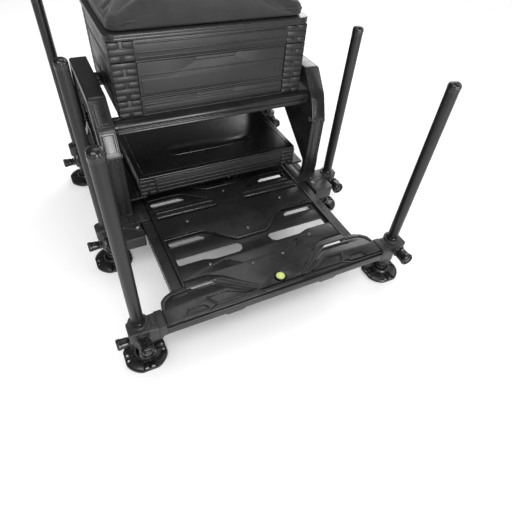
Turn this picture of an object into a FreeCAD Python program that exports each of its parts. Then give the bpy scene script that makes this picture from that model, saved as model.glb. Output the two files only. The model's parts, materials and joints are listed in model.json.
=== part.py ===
import FreeCAD, Part
import math
import os

V = FreeCAD.Vector
os.makedirs("parts", exist_ok=True)

# Fishing seat box on six legs, in millimetres. X is to the right, Y to the rear, Z up.
# The parts are drawn from the front leg row (Y = 0) and moved to the shared origin when saved:
# the middle of the overall box, on the ground.

# Leg rows and legs
leg_x = 320.0
mid_row = 304.0
rear_row = 694.0
leg_r = 12.5
leg_wall = 1.5
leg_bottom = 34.0
leg_top = 505.0
slide_fit = 0.1
cut_over = 1.0

# Mud feet and their ball joints
foot_r = 48.0
foot_flat = 45.0
foot_sides = 16
foot_web = 5.0
foot_rim_h = 11.0
foot_rim_w = 5.0
pocket_half = 26.0
foot_boss_r = 15.0
foot_boss_top = 25.0
foot_boss_flare = 4.0
foot_boss_edge = 4.0
slot_w = 8.0
slot_d = 5.0
slot_in = 4.0
slot_gap = 6.0
ball_r = 9.0
ball_sides = 10
ball_bands = 4
ball_step = 34.0
ball_z = 20.0
ball_neck_r = 4.0
ball_fit = 0.1
collar_r = 14.0
collar_h = 4.0
spigot_h = 14.0
spigot_fit = 0.05
cap_r = 13.0
cap_rim = 3.0
cap_dome = 10.0
cap_sides = 10

# Corner castings and their clamp knobs
deck_z = 120.0
cast_h = 30.0
sleeve_r = 20.0
sleeve_drop = 40.0
sleeve_lip = 3.0
clamp_slit = 2.5
sleeve_sides = 16
sleeve_web_t = 8.0
sleeve_web_in = 6.0
sleeve_web_back = 8.0
sleeve_web_foot = 12.0
boss_sides = 8
cast_out = 25.0
cast_in = 50.0
cast_draft = 4.0
cast_round = 9.0
cast_end_w = 16.0
cast_lug_drop = 20.0
cast_lug_in = 8.0
cast_pocket_in = 8.0
cast_pocket_d = 2.0
knob_boss_r = 13.0
knob_seat = 34.0
arm_rise = 15.0
arm_boss_r = 11.0
arm_seat = 21.5
spindle_r = 4.0
spindle_l = 10.0
arm_spindle_l = 7.0
knob_fit = 0.06
knob_gap = 0.3
knob_r = 15.5
knob_l = 35.0
knob_flange_h = 6.0
knob_collar_h = 4.0
knob_edge = 1.6
arm_knob_r = 12.0
arm_knob_l = 30.0
arm_flange_h = 5.0
knob_lobes = 6
knob_sides = 10
spindle_sides = 8

# Front bar under the footplate
bar_y0 = -32.0
bar_y1 = 12.0
bar_wall = 2.5
bar_ledge = 6.0
bar_ledge_drop = 7.0
bar_lug_x = 118.0
bar_lug_w = 56.0
bar_lug_h = 11.0
bar_lug_slant = 9.0
bar_lug_in = 4.0
bar_lug_t = 14.0
plug_l = 22.0
plug_fit = 0.2

# Sliding footplate
plate_t = 4.0
tread_gap = 1.3
tread_front = -30.0
tread_rear = 470.0
tread_skirt = 8.0
tread_rib_rows = (100.0, 225.0, 312.0, 400.0)
skirt_t = 3.0
ear_tip_y = 32.0
ear_corner = 20.0
ear_slope = 5.0
ear_root_y = 50.0
band_h = 2.4
slot_edge = 12.0
slot_cut = 2.0
slot_slant = 12.0
slot_slant_h = 8.0
thin_slot_rows = (180.0, 335.0)
thin_slot_l = 88.0
thin_slot_w = 15.0
wide_slot_y = 108.0
wide_slot_l = 160.0
wide_slot_w = 29.0
wide_slot_bend = 7.0
wide_slot_out = 56.0
wide_slot_run = 20.0
wide_slot_slant = 18.0
wide_slot_corner = 8.0
wide_slot_root = 5.0
front_slot_y = 38.0
front_slot_l = 62.0
front_slot_w = 9.0
front_slot_slant = 8.0
chevron_y = 141.0
chevron_w = 12.0
chevron_rise = 55.0
chevron_x0 = 36.0
chevron_x1 = 104.0
band_front_in = 3.0
band_front_x = 44.0
band_front_rise = 57.0
pocket_d = 2.0
wedge_pocket = ((168.0, 9.0), (126.0, 9.0), (70.0, -24.0), (160.0, -20.0))
ear_pocket = ((224.0, -24.0), (214.0, -10.0), (184.0, -8.0), (174.0, -24.0))
screw_spots = ((131.0, 248.0), (131.0, 91.0), (39.0, 58.0), (40.0, 385.0), (180.0, 440.0))
centre_screw_rows = (170.0, 330.0)
rail_w = 23.7
rail_seat = 1.0
rail_h = 23.0
rail_rear = 500.0
rail_wall = 2.5
rail_ledge = 12.0
rail_ledge_t = 4.0
rail_groove_z = 9.0
rail_groove_w = 5.0
rail_groove_d = 1.2
rail_notch = 5.0
rail_notch_pitch = 20.0
rail_notches = 14
rail_notch_start = 30.0
rail_notch_h = 4.0
run_gap = 0.3
step_y0 = 281.0
step_d = 19.0
step_cut = 5.0
step_x0 = 42.0
step_x1 = 195.0
step_h = 6.0
button_y = -4.0
button_r = 13.0
button_proud = 4.0
button_sides = 24
button_edge = 1.0
button_flange = 2.5
button_flange_h = 2.7
button_fit = 0.08
button_travel = 3.0
screw_r = 4.2
screw_h = 1.6
screw_sides = 6
shank_r = 2.0
shank_fit = 0.1
bolt_r = 5.8
bolt_h = 4.0
bolt_in = 13.0
mid_bolt_in = 40.0

# Fixed base: channels, cross tubes, castings
chan_in = 58.0
chan_w = 24.0
chan_slide = 3.0
chan_lead = 16.0
chan_wall = 2.5
chan_lip = 3.7
lip_in = 1.7
lip_reach = 8.0
tube_h = 20.0
tube_w = 25.0
tube_wall = 2.0
mid_block_in = 22.0
mid_block_l = 56.0
mid_block_cut = 8.0
block_in = 2.0
arm_half = 18.0
arm_root = 8.0
seam_in = 20.0
seam_w = 3.0
seam_d = 1.2
chan_over = 18.0

# Side frames
side_in = 9.0
side_w = 41.0
side_set = 14.0
side_web = 8.0
side_rim = 5.0
knee_h = 170.0
post_w = 16.0
brace_h = 40.0
gap_top_h = 142.0
gap_half = 24.0
shoulder_y = 22.0
crown_y = 67.0
crown_h = 278.0
groove_d = 1.6
groove_w = 3.0
groove_in = 10.0
groove_end = 14.0
arch_round = 10.0

# Upper cross rails that carry the stack
rail_rise = 225.0
xrail_h = 26.0
xrail_w = 32.0
xrail_set = 50.0
xrail_bore_w = 23.0
xrail_bore_h = 17.0
xrail_round = 9.0

# Low case on its runners
case_side = 30.0
case_set = 19.0
case_back = 25.0
case_rise = 35.0
case_h = 46.0
case_lid_h = 6.0
case_wall = 3.0
block_w = 40.0
block_d = 26.0
block_proud = 2.0
runner_t = 5.0
runner_in = 14.0
runner_end = 13.0
guide_in = 5.0
guide_t = 3.0
guide_h = 9.0
guide_start = 12.0
block_groove_w = 2.4
block_groove_in = 8.0
face_groove_w = 2.5
face_groove_d = 1.0
face_groove_in = 4.0
lid_round = 5.0
lip_t = 2.0
lip_h = 4.0
field_y = 70.0
field_w = 240.0
field_d = 48.0
field_h = 1.6

# Seat stack
stack_side = 19.0
stack_set = 57.0
stack_back = 25.0
unit_low_h = 40.0
unit_deep_h = 80.0
unit_top_h = 40.0
unit_wall = 4.0
unit_gap = 0.3
unit_block_w = 52.0
unit_block_d = 24.0
drawer_fit = 0.5
drawer_wall = 2.5
drawer_back = 2.0
drawer_pitch = 10.0
drawer_plain = 12.0
block_pitch = 12.0
pull_w = 90.0
pull_d = 3.0
pull_h = 7.0
seat_over = 4.0
seat_gap = 1.3
seat_t = 13.0
seat_round = 26.0
seat_rim = 7.0
seat_panel = 4.0
seat_back = 1.0
pad_h = 44.0
pad_in = 6.0
seat_corner_steps = 4
pad_profile = ((-3.0, 0.0), (0.0, 0.25), (-1.0, 0.6), (-9.0, 0.86), (-34.0, 1.0))
channel_in = 92.0
channel_r = 5.0
channel_sides = 8
channel_up = 1.5
hinge_r = 5.4
hinge_strap = 4.5
hinge_lift = 1.5
hinge_out = 3.0
hinge_sides = 8
hinge_pin_r = 2.5
hinge_fit = 0.05
hinge_w = 36.0
hinge_x = 120.0

# Derived places, from the legs inward and from the deck up and down
mid_y = (mid_row + rear_row) / 2.0
knob_reach = knob_seat + knob_gap + knob_l
origin_y = (rear_row + foot_flat - knob_reach) / 2.0
leg_rows = {"front": 0.0, "mid": mid_row, "rear": rear_row}
cast_z0 = deck_z - cast_h
cast_inner_x = leg_x - cast_in
sleeve_z0 = cast_z0 - sleeve_drop
knob_z = deck_z - cast_h / 2.0
arm_knob_z = sleeve_z0 + arm_rise
chan_x1 = leg_x - chan_in
chan_x0 = chan_x1 - chan_w
chan_front = mid_row - chan_lead
chan_rear = rear_row + chan_over
mid_block_x1 = leg_x - mid_block_in
mid_block_y0 = chan_front - mid_block_l
plate_z0 = deck_z - plate_t
rail_z0 = plate_z0 - rail_seat - rail_h
rail_x1 = chan_x0 - chan_slide
rail_x0 = rail_x1 - rail_w
tread_half = rail_x0 - tread_gap
ear_x = cast_inner_x - run_gap
side_x0 = chan_x0 + side_in
side_x1 = side_x0 + side_w
side_front = mid_row + side_set
side_rear = 2.0 * mid_y - side_front
knee_z = deck_z + knee_h
brace_z0 = deck_z + brace_h
gap_top_z = deck_z + gap_top_h
crown_z = deck_z + crown_h
rail_top = deck_z + rail_rise
shoulder_z = rail_top
xrail_y = side_front + xrail_set
case_x = side_x0 - case_side
case_y0 = side_front + case_set
case_y1 = side_rear - case_back
case_z0 = deck_z + case_rise
stack_x = side_x0 - stack_side
stack_y0 = side_front + stack_set
stack_y1 = side_rear - stack_back
stack_z0 = rail_top
deep_z0 = stack_z0 + unit_low_h + unit_gap
top_z0 = deep_z0 + unit_deep_h + unit_gap
stack_top = top_z0 + unit_top_h


def save(name, shape):
    """Move a piece to the shared origin and write it."""
    moved = shape.copy()
    moved.translate(V(0, -origin_y, 0))
    moved.exportStep("parts/%s.step" % name)


def block(x0, x1, y0, y1, z0, z1):
    """Box between two corners."""
    return Part.makeBox(x1 - x0, y1 - y0, z1 - z0, V(x0, y0, z0))


def rod(r, start, direction, length):
    """Cylinder from a point along a direction."""
    return Part.makeCylinder(r, length, V(*start), V(*direction))


def mirrored(shape):
    """The same piece on the left side."""
    return shape.mirror(V(0, 0, 0), V(1, 0, 0))


def joined(shapes):
    """One solid out of touching or overlapping solids."""
    out = shapes[0]
    if len(shapes) > 1:
        out = out.fuse(shapes[1:])
    return out.removeSplitter()


def outline(points, radius=0.0):
    """Closed wire through points in a plane, with its corners rounded."""
    pts = [V(*p) for p in points]
    edges = []
    ends = []
    n = len(pts)
    for i in range(n):
        p, q, s = pts[i - 1], pts[i], pts[(i + 1) % n]
        a, b = (p - q), (s - q)
        turn = math.pi - a.getAngle(b)
        back = radius * math.tan(turn / 2.0)
        if radius <= 0 or back < 1e-3 or back > 0.49 * min(a.Length, b.Length):
            ends.append((q, q, None))
            continue
        a.normalize()
        b.normalize()
        mid = (a + b)
        mid.normalize()
        centre = q + mid * (radius / math.cos(turn / 2.0))
        ends.append((q + a * back, q + b * back, centre - mid * radius))
    for i in range(n):
        start, stop, on = ends[i]
        if on is not None:
            edges.append(Part.Arc(start, on, stop).toShape())
        edges.append(Part.makeLine(stop, ends[(i + 1) % n][0]))
    return Part.Wire(edges)


def prism(points, along, radius=0.0):
    """Flat outline pushed along a vector."""
    return Part.Face(outline(points, radius)).extrude(V(*along))


def plan(points, z0, z1, radius=0.0):
    """Outline given in X and Y, from one height to another."""
    return prism([(x, y, z0) for x, y in points], (0, 0, z1 - z0), radius)


def ring(sides, r, z):
    """Corners of a regular polygon about the vertical at one height."""
    angles = [2 * math.pi * (i + 0.5) / sides for i in range(sides)]
    return [V(r * math.cos(a), r * math.sin(a), z) for a in angles]


def flat_face(corners):
    """Plane face through corners in order."""
    return Part.Face(Part.makePolygon(corners + [corners[0]]))


def faceted(profile, sides, centre=(0, 0, 0)):
    """Flat-sided solid about the vertical through a point; profile is radius, height, upward."""
    rings = [ring(sides, r, z) for r, z in profile]
    faces = [flat_face(rings[0][::-1]), flat_face(rings[-1])]
    for low, high in zip(rings, rings[1:]):
        for i in range(sides):
            faces.append(flat_face([low[i - 1], low[i], high[i], high[i - 1]]))
    shell = Part.Shell(faces)
    shell.sewShape()
    solid = Part.Solid(shell)
    solid.translate(V(*centre))
    return solid


def both_sides(points):
    """Half outline on the right, closed over to the left."""
    left = [(-x, y) for x, y in reversed(points) if x > 0]
    return points + left


def leg_tube():
    """Round tube from the ball joint to the cap."""
    tube = rod(leg_r, (0, 0, leg_bottom), (0, 0, 1), leg_top - leg_bottom)
    return tube.cut(rod(leg_r - leg_wall, (0, 0, leg_bottom), (0, 0, 1), leg_top - leg_bottom))


def ball_form(r):
    """Faceted ball about the joint's centre, with its corners at one radius."""
    lats = [math.radians(ball_step * (i - (ball_bands / 2.0))) for i in range(ball_bands + 1)]
    return faceted([(r * math.cos(a), ball_z + r * math.sin(a)) for a in lats], ball_sides)


def leg_fittings():
    """Domed top cap and the ball stud at the bottom, each on a square spigot inside the tube."""
    half = (leg_r - leg_wall - spigot_fit) / math.sqrt(2.0)
    cap = faceted([(cap_r, leg_top), (cap_r, leg_top + cap_rim), (0.84 * cap_r, leg_top + 0.72 * cap_dome),
                   (0.45 * cap_r, leg_top + cap_dome)], cap_sides)
    cap_spigot = block(-half, half, -half, half, leg_top - spigot_h, leg_top)
    collar = faceted([(collar_r, leg_bottom - collar_h), (collar_r, leg_bottom)], cap_sides)
    stud_spigot = block(-half, half, -half, half, leg_bottom, leg_bottom + spigot_h)
    neck = faceted([(ball_neck_r, ball_z), (ball_neck_r, leg_bottom - collar_h)], spindle_sides)
    stud = joined([stud_spigot, collar, neck, ball_form(ball_r)])
    return Part.makeCompound([joined([cap, cap_spigot]), stud])


def polar(r, degrees):
    """Point in plan at a radius and an angle."""
    a = math.radians(degrees)
    return r * math.cos(a), r * math.sin(a)


def foot():
    """Round mud foot: four flats with two slots each, pockets between them, and the ball socket."""
    body = faceted([(foot_r, 0), (foot_r, foot_rim_h)], foot_sides)
    boss = faceted([(foot_boss_r + foot_boss_flare, foot_web), (foot_boss_r, foot_boss_top - foot_boss_edge),
                    (foot_boss_r - foot_boss_edge / 2, foot_boss_top)], cap_sides)
    rim_in = foot_r - foot_rim_w
    near, half = foot_boss_r + foot_boss_flare + 2, pocket_half
    pocket = plan([polar(near, -0.7 * half), polar(rim_in - 1, -half), polar(rim_in, -0.35 * half),
                   polar(rim_in, 0.35 * half), polar(rim_in - 1, half), polar(near, 0.7 * half)],
                  foot_web, foot_rim_h + 1)
    pocket.rotate(V(0, 0, 0), V(0, 0, 1), 45)
    slot_x = foot_flat - slot_in
    for i in range(4):
        cuts = [pocket, block(foot_flat, foot_r + 5, -foot_r, foot_r, -1, foot_boss_top)]
        for s in (-1, 1):
            y0, y1 = sorted((s * slot_gap / 2.0, s * (slot_gap / 2.0 + slot_w)))
            cuts.append(block(slot_x - slot_d, slot_x, y0, y1, -1, foot_rim_h + 1))
        cutter = Part.makeCompound(cuts)
        cutter.rotate(V(0, 0, 0), V(0, 0, 1), 90.0 * i)
        body = body.cut(cutter)
    flat = math.cos(math.pi / ball_sides) * math.cos(math.radians(ball_step / 2.0))
    socket = ball_form((ball_r + ball_fit) / flat)
    return body.fuse(boss).cut(socket).removeSplitter()


def lobed_knob(r, length, flange, reach):
    """Six-sided grip between a collar and a larger dished ring, along +Z, and a spindle below."""
    collar = faceted([(0.78 * r, 0), (0.78 * r, knob_collar_h)], knob_sides)
    grip = faceted([(0.95 * r, knob_collar_h), (0.95 * r, length - flange)], knob_lobes)
    end = faceted([(1.1 * r, length - flange), (1.1 * r, length - knob_edge), (r, length)], knob_sides)
    dish = faceted([(0.55 * r, length - knob_edge), (0.66 * r, length + 0.2)], knob_sides)
    spindle = faceted([(spindle_r, -reach - knob_gap), (spindle_r, 1)], spindle_sides)
    return joined([collar, grip, end, spindle]).cut(dish).removeSplitter()


def leg_knob():
    """Knob that clamps the leg, facing forward."""
    knob = lobed_knob(knob_r, knob_l, knob_flange_h, spindle_l)
    knob.rotate(V(0, 0, 0), V(1, 0, 0), 90)
    knob.translate(V(0, -knob_seat - knob_gap, knob_z))
    return knob


def arm_knob():
    """Smaller knob that clamps an accessory arm, facing outward to the right."""
    knob = lobed_knob(arm_knob_r, arm_knob_l, arm_flange_h, arm_spindle_l)
    knob.rotate(V(0, 0, 0), V(0, 1, 0), 90)
    knob.translate(V(arm_seat + knob_gap, 0, arm_knob_z))
    return knob


def sleeve():
    """Upright split sleeve of a corner casting with its two knob bosses, about the leg axis."""
    body = faceted([(sleeve_r, sleeve_z0), (sleeve_r, deck_z + sleeve_lip)], sleeve_sides)
    body = body.cut(block(-clamp_slit / 2, clamp_slit / 2, 0, sleeve_r + 1, sleeve_z0 - 1, cast_z0 - 3))
    front = faceted([(knob_boss_r, 0), (knob_boss_r, knob_seat)], boss_sides)
    front.rotate(V(0, 0, 0), V(1, 0, 0), 90)
    front.translate(V(0, 0, knob_z))
    arm = faceted([(arm_boss_r, 0), (arm_boss_r, arm_seat)], boss_sides)
    arm.rotate(V(0, 0, 0), V(0, 1, 0), 90)
    arm.translate(V(0, 0, arm_knob_z))
    web = block(-sleeve_web_t / 2, sleeve_web_t / 2, sleeve_web_in - knob_seat, -sleeve_web_back,
                sleeve_z0 + sleeve_web_foot, knob_z)
    return body.fuse([front, arm, web])


def bored(casting, y):
    """Cut the leg bore and the square spindle holes into a casting on the right."""
    half = spindle_r + knob_fit
    depth = spindle_l + cut_over
    bore = rod(leg_r + slide_fit, (leg_x, y, sleeve_z0 - cut_over), (0, 0, 1),
               deck_z + sleeve_lip - sleeve_z0 + 2 * cut_over)
    front = block(leg_x - half, leg_x + half, y - knob_seat - cut_over, y - knob_seat + depth,
                  knob_z - half, knob_z + half)
    arm = block(leg_x + leg_r, leg_x + arm_seat + cut_over, y - half, y + half,
                arm_knob_z - half, arm_knob_z + half)
    return casting.cut([bore, front, arm]).removeSplitter()


def place_sleeve(y):
    """Sleeve moved to a leg on the right side."""
    out = sleeve()
    out.translate(V(leg_x, y, 0))
    return out


def bar_section(x0, x1, shrink):
    """Front bar profile, drawn in or out by a shrink, between two places along X."""
    y0, y1 = bar_y0 + shrink, bar_y1 - shrink
    z0, z1 = cast_z0 + shrink, plate_z0 - shrink
    ledge = z1 - bar_ledge_drop
    pts = [(x0, y0, z0), (x0, y1, z0), (x0, y1, z1), (x0, y0 + bar_ledge, z1),
           (x0, y0 + bar_ledge, ledge), (x0, y0, ledge)]
    return prism(pts, (x1 - x0, 0, 0), 1.5 if shrink == 0 else 0.0)


def front_bar():
    """Hollow cross bar of the footplate with a stepped front, two stop lugs and the button's well."""
    reach = cast_inner_x
    body = bar_section(-reach, reach, 0)
    y = bar_y0 + bar_lug_in
    for side in (-1, 1):
        x0, x1 = side * bar_lug_x - bar_lug_w / 2, side * bar_lug_x + bar_lug_w / 2
        lug = prism([(x0, y, cast_z0), (x1, y, cast_z0), (x1 - bar_lug_slant, y, cast_z0 - bar_lug_h),
                     (x0 + bar_lug_slant, y, cast_z0 - bar_lug_h)], (0, bar_lug_t, 0))
        body = body.fuse(lug)
    body = body.cut(bar_section(-reach - 1, reach + 1, bar_wall))
    bottom = plate_z0 - run_gap - button_flange_h - button_travel - 1.0
    well = faceted([(button_r + button_flange + 0.6, bottom), (button_r + button_flange + 0.6, deck_z)],
                   button_sides, (0, button_y, 0))
    return body.cut(well).removeSplitter()


def front_casting():
    """Right front corner: sleeve, rounded block and the plug that fits inside the bar."""
    x0, x1 = cast_inner_x, leg_x + cast_out
    corner = plan([(x0, bar_y0), (x1, bar_y0 + cast_draft), (x1, bar_y1 - cast_draft), (x0, bar_y1)],
                  cast_z0, deck_z, cast_round)
    bar_end = block(x0, x0 + cast_end_w, bar_y0, bar_y1, cast_z0, deck_z)
    lug = block(x0 + cast_lug_in, leg_x - cast_lug_in, bar_y0 + cast_lug_in, bar_y1 - cast_lug_in,
                cast_z0 - cast_lug_drop, cast_z0)
    plug = bar_section(x0 - plug_l, x0, bar_wall + plug_fit)
    body = joined([corner, bar_end, lug, plug, place_sleeve(0.0)])
    y0, y1 = bar_y0 + cast_pocket_in, bar_y1 - cast_pocket_in
    near = leg_x - sleeve_r
    pocket = plan([(x0 + cast_end_w, y0), (near, y0), (near - cast_draft, y1), (x0 + cast_end_w, y1)],
                  deck_z - cast_pocket_d, deck_z + 1)
    return bored(body.cut(pocket), 0.0)


def footplate_rail():
    """Right slide rail: hollow box with an inner ledge and indexing notches below."""
    top = rail_z0 + rail_h
    y0 = bar_y1
    body = block(rail_x0, rail_x1, y0, rail_rear, rail_z0, top)
    body = body.cut(block(rail_x0 + rail_wall, rail_x1 - rail_wall, y0 - 1, rail_rear + 1,
                          rail_z0 + rail_wall, top - rail_wall))
    under = deck_z - tread_skirt
    ledge = block(rail_x0 - rail_ledge, rail_x0, y0, rail_rear, under - rail_ledge_t, under)
    low = rail_z0 + rail_groove_z
    groove = block(rail_x1 - rail_groove_d, rail_x1 + 1, y0 - 1, rail_rear + 1, low, low + rail_groove_w)
    body = joined([body, ledge]).cut(groove)
    for i in range(rail_notches):
        y = y0 + rail_notch_start + i * rail_notch_pitch
        body = body.cut(block(rail_x1 - rail_wall - 1, rail_x1 + 1, y, y + rail_notch, rail_z0 - 1,
                              rail_z0 + rail_notch_h))
    return body.removeSplitter()


def slot_outlines():
    """Through slots of the tread on the right half, with their ends cut aslant."""
    x1 = tread_half - slot_edge
    cut = slot_cut
    rows = []
    for y in thin_slot_rows:
        x0, top = x1 - thin_slot_l, y + thin_slot_w
        rows.append([(x0, y), (x1 - cut, y), (x1, y + cut), (x1, top), (x0 + slot_slant, top),
                     (x0 + cut, y + slot_slant_h)])
    x0, y, top = x1 - wide_slot_l, wide_slot_y, wide_slot_y + wide_slot_w
    bend = y + wide_slot_bend
    step = x1 - wide_slot_out
    rows.append([(x0 + wide_slot_slant, y), (step - wide_slot_run, y), (step, bend), (x1 - cut, bend),
                 (x1, bend + cut), (x1, top), (x0 + wide_slot_corner, top),
                 (x0, top - wide_slot_corner), (x0 + cut, y + wide_slot_root)])
    y, top = front_slot_y, front_slot_y + front_slot_w
    x0 = x1 - front_slot_l
    rows.append([(x0, y), (x1 - cut, y), (x1, top), (x0 + front_slot_slant, top)])
    return rows


def band_outlines():
    """Raised chevron bands of the tread on the right half, from the centre line outward."""
    x1 = tread_half - slot_cut
    y, w = chevron_y, chevron_w
    shelf = y + chevron_rise
    rear = [(0, y), (chevron_x0, y), (chevron_x1, shelf), (x1, shelf), (x1, shelf + 1.6 * w),
            (chevron_x1 + 3 * w, shelf + 1.6 * w), (chevron_x1 + 0.5 * w, shelf + 0.8 * w),
            (chevron_x0 + 0.5 * w, y + w), (0, y + w)]
    y0, x0 = tread_front + band_front_in, band_front_x
    bar = y0 + band_front_rise
    front = [(x0 + 1.5 * w, y0), (x0 + 7.3 * w, bar), (x1, bar), (x1, bar + 0.5 * w),
             (x0 + 7.5 * w, bar + 0.5 * w), (x0 + 6.3 * w, bar + 2.3 * w), (x0, y0 + 1.2 * w), (x0, y0)]
    low = bar + 2.5 * w
    cap = [(x0 + 6.3 * w, low), (x1, low), (x1, low + w), (x0 + 8.2 * w, low + w)]
    return [rear], [front, cap]


def half_both(points, z0, z1):
    """Prisms of one right-hand outline and its mirror image."""
    right = plan(points, z0, z1)
    return [right, mirrored(right)]


def screw_places():
    """Where the tread is screwed down."""
    out = [(0.0, y) for y in centre_screw_rows]
    for x, y in screw_spots:
        out += [(x, y), (-x, y)]
    return out


def tread_plate():
    """Plate of the tread with its ears over the bar, its side skirts and the ribs below."""
    x, front, y1 = tread_half, tread_front, tread_rear
    ears = [(0, front), (ear_x, front), (ear_x, ear_tip_y - ear_corner), (ear_x - ear_slope, ear_tip_y),
            (rail_x1, ear_root_y), (x, ear_root_y), (x, y1), (0, y1)]
    under = deck_z - tread_skirt
    parts = [plan(both_sides(ears), plate_z0, deck_z)]
    for side in (-1, 1):
        a, b = sorted((side * x, side * (x - skirt_t)))
        parts.append(block(a, b, bar_y1 + 1, y1, under, plate_z0))
    for y in tread_rib_rows + (y1 - skirt_t,):
        parts.append(block(-x + 1, x - 1, y, y + skirt_t, under, plate_z0))
    return joined(parts)


def tread_relief():
    """Raised chevron bands and the two steps on the tread."""
    low = deck_z - 1
    single, paired = band_outlines()
    out = [plan(both_sides(pts), low, deck_z + band_h) for pts in single]
    for pts in paired:
        out += half_both(pts, low, deck_z + band_h)
    x0, x1, y0, y1, cut = step_x0, step_x1, step_y0, step_y0 + step_d, step_cut
    step = [(x0, y1 - cut), (x0 + cut, y0), (x1 - cut, y0), (x1, y0 + cut), (x1 - cut, y1), (x0 + cut, y1)]
    return out + half_both(step, low, deck_z + step_h)


def footplate_tread():
    """Moulded tread: plate, chevron bands and steps, through slots, pockets and holes."""
    under = deck_z - tread_skirt
    body = tread_plate().fuse(tread_relief())
    cuts = []
    for pts in slot_outlines():
        cuts += half_both(pts, under - 1, deck_z + step_h)
    for pts in (wedge_pocket, ear_pocket):
        cuts += half_both(pts, deck_z - pocket_d, deck_z + step_h)
    cuts.append(faceted([(button_r + button_fit, under), (button_r + button_fit, deck_z + 1)],
                        button_sides, (0, button_y, 0)))
    for x, y in screw_places():
        cuts.append(block(x - shank_r, x + shank_r, y - shank_r, y + shank_r, under - 1, deck_z + step_h))
    return body.cut(cuts).removeSplitter()


def footplate_button():
    """Round release button with a softened top edge and a flange under the tread."""
    base = plate_z0 - run_gap
    top = deck_z + button_proud
    place = (0, button_y, 0)
    cap = faceted([(button_r, base), (button_r, top - button_edge), (button_r - button_edge, top)],
                  button_sides, place)
    wide = button_r + button_flange
    return joined([cap, faceted([(wide, base - button_flange_h), (wide, base)], button_sides, place)])


def footplate_screws():
    """Screws of the tread: flat-sided pan heads on short square shanks."""
    half = shank_r - shank_fit
    screws = []
    for x, y in screw_places():
        shank = block(x - half, x + half, y - half, y + half, plate_z0 - 3, deck_z)
        head = faceted([(screw_r, deck_z), (screw_r - 1, deck_z + screw_h)], screw_sides, (x, y, 0))
        screws.append(joined([shank, head]))
    return Part.makeCompound(screws)


def base_channel():
    """Right base channel: box section with two lips that guide the slide rail."""
    under = rail_z0 - run_gap
    over = rail_z0 + rail_h + run_gap
    y0, y1 = chan_front, chan_rear
    body = block(chan_x0, chan_x1, y0, y1, under - chan_lip, deck_z)
    body = body.cut(block(chan_x0 + chan_wall, chan_x1 - chan_wall, y0 - 1, y1 + 1,
                          under - chan_lip + chan_wall, deck_z - chan_wall))
    low = block(rail_x0 - lip_reach, chan_x0, y0, y1, under - chan_lip, under)
    high = block(rail_x0 + lip_in, chan_x0, y0, y1, over, deck_z)
    return joined([body, low, high])


def cross_tubes():
    """Two square tubes under the channels, at the middle and rear leg rows."""
    top = rail_z0 - run_gap - chan_lip
    out = []
    for y in (mid_row, rear_row):
        y0, y1 = y - tube_w / 2, y + tube_w / 2
        tube = block(-chan_x1, chan_x1, y0, y1, top - tube_h, top)
        hollow = block(-chan_x1 - 1, chan_x1 + 1, y0 + tube_wall, y1 - tube_wall,
                       top - tube_h + tube_wall, top - tube_wall)
        out.append(tube.cut(hollow))
    return Part.makeCompound(out)


def mid_casting():
    """Right middle corner: sleeve, arm beside the channel and the block in front of it."""
    x0, x1 = chan_x1, leg_x + cast_out
    y0, y1 = mid_row - arm_half, mid_row + arm_half
    arm = plan([(x0, y0 + 2), (x1, y0), (x1, y1), (x0, y1 + arm_root)], cast_z0, deck_z)
    a, b, front = chan_x0 + block_in, mid_block_x1, mid_block_y0
    cut = mid_block_cut
    nose = plan([(a, front), (b - cut, front), (b, front + cut), (b, chan_front), (a, chan_front)],
                cast_z0, deck_z)
    near, far = front + seam_in, chan_front - cut
    seam = prism([(chan_x0, near, deck_z), (b - seam_in, far, deck_z), (b - seam_in - 2, far + 2, deck_z),
                  (chan_x0, near + seam_w, deck_z)], (0, 0, -seam_d))
    body = joined([arm, nose, place_sleeve(mid_row)]).cut(seam)
    return bored(body, mid_row)


def rear_casting():
    """Right rear corner: sleeve and arm beside the channel."""
    x0, x1, x2 = chan_x1, leg_x + cast_out - mid_block_cut, leg_x + cast_out
    y0, y1 = rear_row - arm_half, rear_row + arm_half
    arm = plan([(x0, y0 - arm_root), (x1, y0), (x2, y0 + mid_block_cut), (x2, y1 - mid_block_cut), (x1, y1),
                (x0, y1)], cast_z0, deck_z)
    return bored(joined([arm, place_sleeve(rear_row)]), rear_row)


def arch():
    """Side frame outline in Y and Z: two posts, a crowned top and a gap that narrows upward."""
    half = mid_y - side_front
    outer = [(half, deck_z), (half, knee_z), (half - shoulder_y, shoulder_z), (half - crown_y, crown_z)]
    inner = [(gap_half, gap_top_z), (half - post_w, brace_z0), (half - post_w, deck_z)]
    ring = [(-y, z) for y, z in outer] + outer[::-1] + inner[::-1] + [(-y, z) for y, z in inner]
    return [(0, mid_y + y, z) for y, z in ring]


def side_frame():
    """Right side frame: moulded arch with a rim, an inner web and a grooved front post."""
    wire = outline(arch(), arch_round)
    body = Part.Face(wire).extrude(V(side_x1 - side_x0, 0, 0))
    pocket = Part.Face(outline(arch())).makeOffset2D(-side_rim)
    pocket.translate(V(side_web, 0, 0))
    body = body.cut(pocket.extrude(V(side_x1 - side_x0, 0, 0)))
    body.translate(V(side_x0, 0, 0))
    for x in (side_x0 + groove_in, side_x1 - groove_in - groove_w):
        for y0, y1 in ((side_front - 1, side_front + groove_d), (side_rear - groove_d, side_rear + 1)):
            body = body.cut(block(x, x + groove_w, y0, y1, deck_z + groove_end, knee_z - groove_end))
    return body.removeSplitter()


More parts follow.
